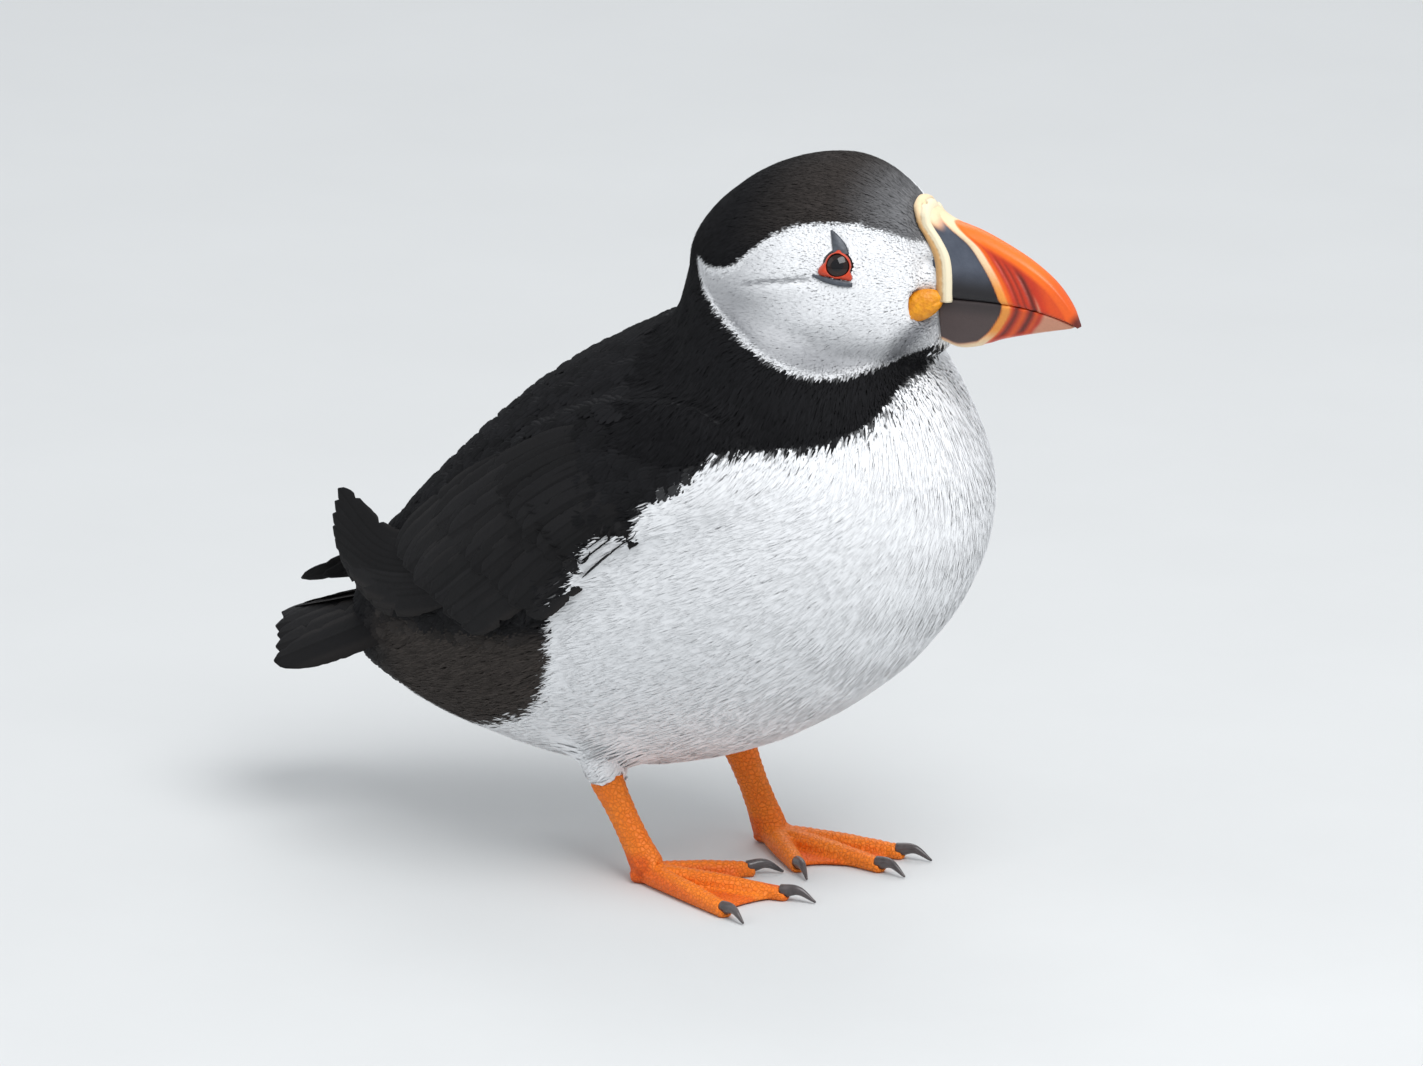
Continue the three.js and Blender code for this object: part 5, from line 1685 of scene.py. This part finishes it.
class PUFFIN_OT_eyes(bpy.types.Operator):
    """Eyeballs, the red lid rings, and the slate plates above and below them"""

    bl_idname = "puffin.eyes"
    bl_label = "Eyes"

    def execute(self, context):
        colours = context.scene.puffin_colours
        shade = [c * 0.55 for c in colours.ring]
        ring = flesh_finish("orbital_ring", colours.ring, shade, 0.45, 1500.0, 0.12, 0.3)
        plate = flesh_finish("eye_plate", colours.plate, colours.plate_deep, 0.5, 1200.0, 0.12, 0.1)
        eye = eye_finish(colours)
        for side in SIDES:
            finished(self.ball(side), eye, "eye", f"eye_{side}")
            finished(self.lid(side), ring, "orbital_ring", f"eye_ring_{side}")
            for name, node, shape, base in (("horn_plate", "horn", HORN, 3.0), ("bar", "slip", BAR, 3.15)):
                made = build_mesh(f"eye_{name}_{side}", *plate_over_eye(side, shape, 0.55, base))
                finished(made, plate, "eye_plate", f"eye_{node}_{side}")
        return {"FINISHED"}

    def ball(self, side):
        """The eyeball with the low bulge of its cornea."""
        ball, forward, up, out = eye_frame(side)
        RINGS, AROUND, CORNEA = 40, 64, 0.12
        polar, turn = globe(RINGS, AROUND)
        radius = EYE_RADIUS + CORNEA * np.exp(-(polar / 0.4)**2)
        f, u = radius * np.sin(polar) * np.cos(turn), radius * np.sin(polar) * np.sin(turn)
        o = radius * np.cos(polar) + 0 * turn
        rings = ball + f[..., None] * forward + u[..., None] * up + o[..., None] * out
        points, faces = closed_rings(rings, ball + out * (EYE_RADIUS + CORNEA), ball - out * EYE_RADIUS)
        from_middle = EYE_RADIUS * np.sin(np.minimum(polar, math.pi / 2)) + 0 * turn
        away = np.concatenate([[0], from_middle.ravel(), [9]])
        around = np.concatenate([[0], (turn + 0 * polar).ravel(), [0]])
        gaze = np.stack([away, around, 0 * around], -1)
        return build_mesh(f"eyeball_{side}", points, faces, {"gaze": gaze})

    def lid(self, side):
        """The bare lid: a soft ring with a round opening and a three-cornered outer edge."""
        AROUND, SECTION = 110, 16
        INNER_HEIGHT, OUTER_HEIGHT, DOME, SUNK = 3.78, 2.55, 0.62, -1.1
        turn = np.linspace(0, 2 * math.pi, AROUND, endpoint=False)
        ray = np.stack([np.cos(turn), np.sin(turn)], -1)
        reach = lid_reach(turn)
        inner = LID["inner"] * (1 + 0.04 * np.cos(turn * 3 + 0.5))
        loop = np.linspace(0, 2 * math.pi, SECTION, endpoint=False)
        t = 0.5 - 0.5 * np.cos(loop)
        upper = np.sin(loop) > 0
        flat = ray[:, None] * (inner[:, None] + (reach - inner)[:, None] * t[None])[..., None]
        edge_height = INNER_HEIGHT + (OUTER_HEIGHT - INNER_HEIGHT) * t
        height = edge_height[None] + np.where(upper, DOME, SUNK)[None] * np.abs(np.sin(loop))[None]
        rings = in_eye_frame(side, flat, height + 0 * turn[:, None])
        count = AROUND * SECTION
        rows, cols = np.meshgrid(np.arange(AROUND), np.arange(SECTION), indexing="ij")
        a, b = rows * SECTION + cols, rows * SECTION + (cols + 1) % SECTION
        c, d = (b + SECTION) % count, (a + SECTION) % count
        faces = np.stack([a, b, c, d], -1).reshape(-1, 4)
        if SIDES[side] > 0:
            faces = faces[:, ::-1]
        return build_mesh(f"eye_lid_{side}", rings.reshape(-1, 3), faces)


# ---- Claws ---------------------------------------------------------------------------------------------
class PUFFIN_OT_claws(bpy.types.Operator):
    """The dark curved claws"""

    bl_idname = "puffin.claws"
    bl_label = "Claws"

    def execute(self, context):
        colours = context.scene.puffin_colours
        material = flesh_finish("claw_horn", colours.claw, colours.claw_pale, 0.3, 700.0, 0.08, 0.4)
        ROOT_HEIGHT, TIP_HEIGHT, ARCH, THICK, FLOOR = 2.3, 0.55, 1.5, 1.75, 0.12
        for side in SIDES:
            ball, _ = toe_lines(side)
            for toe in TOES:
                points, _ = node_mesh(f"claw_{side}_{toe}")
                reach = np.linalg.norm(points[:, :2] - ball[:2], axis=1)
                near, far = points[reach < reach.min() + 1.5].mean(axis=0), points[np.argmax(reach)]
                near[2], far[2] = ROOT_HEIGHT, TIP_HEIGHT
                middle = (near + far) / 2 + [0, 0, ARCH]
                shares = np.linspace(0, 1, 20)
                path = along([near, middle, far], shares)
                ahead = unit(np.gradient(path, axis=0))
                across = unit(np.cross(ahead, [0, 0, 1.0]))
                up = unit(np.cross(across, ahead))
                thick = THICK * (1 - 0.82 * shares**1.3)
                turn = np.linspace(0, 2 * math.pi, 18, endpoint=False)
                sideways = np.cos(turn)[None] * thick[:, None] * 0.85
                rings = path[:, None] + across[:, None] * sideways[..., None]
                rings = rings + up[:, None] * (np.sin(turn)[None] * thick[:, None])[..., None]
                rings[..., 2] = np.maximum(rings[..., 2], FLOOR)
                points, faces = closed_rings(rings, path[0] - ahead[0], path[-1] + ahead[-1] * 0.3)
                made = build_mesh(f"curved_claw_{side}_{toe}", points, faces)
                finished(made, material, "claw", f"claw_{side}_{toe}")
        return {"FINISHED"}


# ---- Stage ---------------------------------------------------------------------------------------------
VIEW_CENTRE = Vector((10.0 * MM, 0, 86.3 * MM))  # the place in the middle of the frame
LIT_CENTRE = Vector((0, 0, 0.1))  # where the lights point
LIGHTS = [  # name, azimuth, elevation, distance, size, power
    ("key", 58, 55, 1.5, 1.0, 20.0),
    ("fill", -60, 30, 1.8, 1.6, 5.0),
    ("rim", 205, 48, 1.6, 1.0, 6.0),
]


def towards(azimuth, elevation):
    """The direction of a place round the bird: azimuth from its right side towards its front."""
    level = math.cos(elevation)
    return Vector((math.sin(azimuth) * level, -math.cos(azimuth) * level, math.sin(elevation)))


class PUFFIN_OT_stage(bpy.types.Operator):
    """A pale floor, soft studio light and the camera"""

    bl_idname = "puffin.stage"
    bl_label = "Stage"

    def execute(self, context):
        scene = context.scene
        self.floor(scene.puffin_stage)
        self.camera(scene)
        for light in LIGHTS:
            self.light(scene, *light)
        scene.world = bpy.data.worlds.new("studio")
        scene.world.use_nodes = True
        sky = scene.world.node_tree.nodes["Background"].inputs
        sky["Color"].default_value = (0.86, 0.9, 0.95, 1)
        sky["Strength"].default_value = 0.62
        scene.view_settings.view_transform = "Standard"
        return {"FINISHED"}

    def floor(self, stage):
        HALF_FLOOR, FLOOR_DROP = 20000.0, -0.02
        square = np.array([[-1, -1], [1, -1], [1, 1], [-1, 1]]) * HALF_FLOOR
        corners = np.stack([square[:, 0], square[:, 1], np.full(4, FLOOR_DROP)], -1)
        floor = build_mesh("floor", corners, np.array([[0, 1, 2, 3]]))
        finish = Finish("floor", Roughness=0.85)
        grain = finish.noise(14.0, 5.0)
        finish.colour(finish.dim(finish.mix(grain, stage.floor, stage.floor), 0.97 + grain * 0.06))
        floor.data.materials.append(finish.material)

    def camera(self, scene):
        stage = scene.puffin_stage
        view = towards(stage.azimuth, stage.elevation)
        lens = bpy.data.cameras.new("camera")
        lens.sensor_width = 36.0
        lens.lens = lens.sensor_width * stage.distance / stage.view_width
        camera = bpy.data.objects.new("camera", lens)
        camera.location = VIEW_CENTRE + view * stage.distance
        camera.rotation_euler = view.to_track_quat("Z", "Y").to_euler()
        scene.collection.objects.link(camera)
        scene.camera = camera

    def light(self, scene, name, azimuth, elevation, away, size, power):
        lamp = bpy.data.lights.new(name, "AREA")
        lamp.size, lamp.energy = size, power
        way = towards(math.radians(azimuth), math.radians(elevation))
        made = bpy.data.objects.new(name, lamp)
        made.location = LIT_CENTRE + way * away
        made.rotation_euler = way.to_track_quat("Z", "Y").to_euler()
        scene.collection.objects.link(made)


class PUFFIN_PT_panel(bpy.types.Panel):
    """The puffin's pieces, sizes and colours"""

    bl_idname = "PUFFIN_PT_panel"
    bl_label = "Puffin"
    bl_space_type = "VIEW_3D"
    bl_region_type = "UI"
    bl_category = "Puffin"

    def draw(self, context):
        layout = self.layout
        for operator in OPERATORS:
            layout.operator(operator.bl_idname)
        for group in (context.scene.puffin_plumage, context.scene.puffin_colours, context.scene.puffin_stage):
            box = layout.box()
            for name in group.__annotations__:
                box.prop(group, name)


GROUPS = {"puffin_plumage": PuffinPlumage, "puffin_colours": PuffinColours, "puffin_stage": PuffinStage}
OPERATORS = [
    PUFFIN_OT_skin, PUFFIN_OT_head, PUFFIN_OT_body, PUFFIN_OT_mantle, PUFFIN_OT_wings, PUFFIN_OT_tail,
    PUFFIN_OT_bill, PUFFIN_OT_eyes, PUFFIN_OT_claws, PUFFIN_OT_stage,
]


def register():
    for group in GROUPS.values():
        bpy.utils.register_class(group)
    for cls in [*OPERATORS, PUFFIN_PT_panel]:
        bpy.utils.register_class(cls)
    for name, group in GROUPS.items():
        setattr(bpy.types.Scene, name, PointerProperty(type=group))


def unregister():
    for name in GROUPS:
        delattr(bpy.types.Scene, name)
    for cls in [PUFFIN_PT_panel, *reversed(OPERATORS), *GROUPS.values()]:
        bpy.utils.unregister_class(cls)


def main():
    register()
    for operator in OPERATORS:
        group, name = operator.bl_idname.split(".")
        getattr(getattr(bpy.ops, group), name)()


if __name__ == "__main__":
    main()
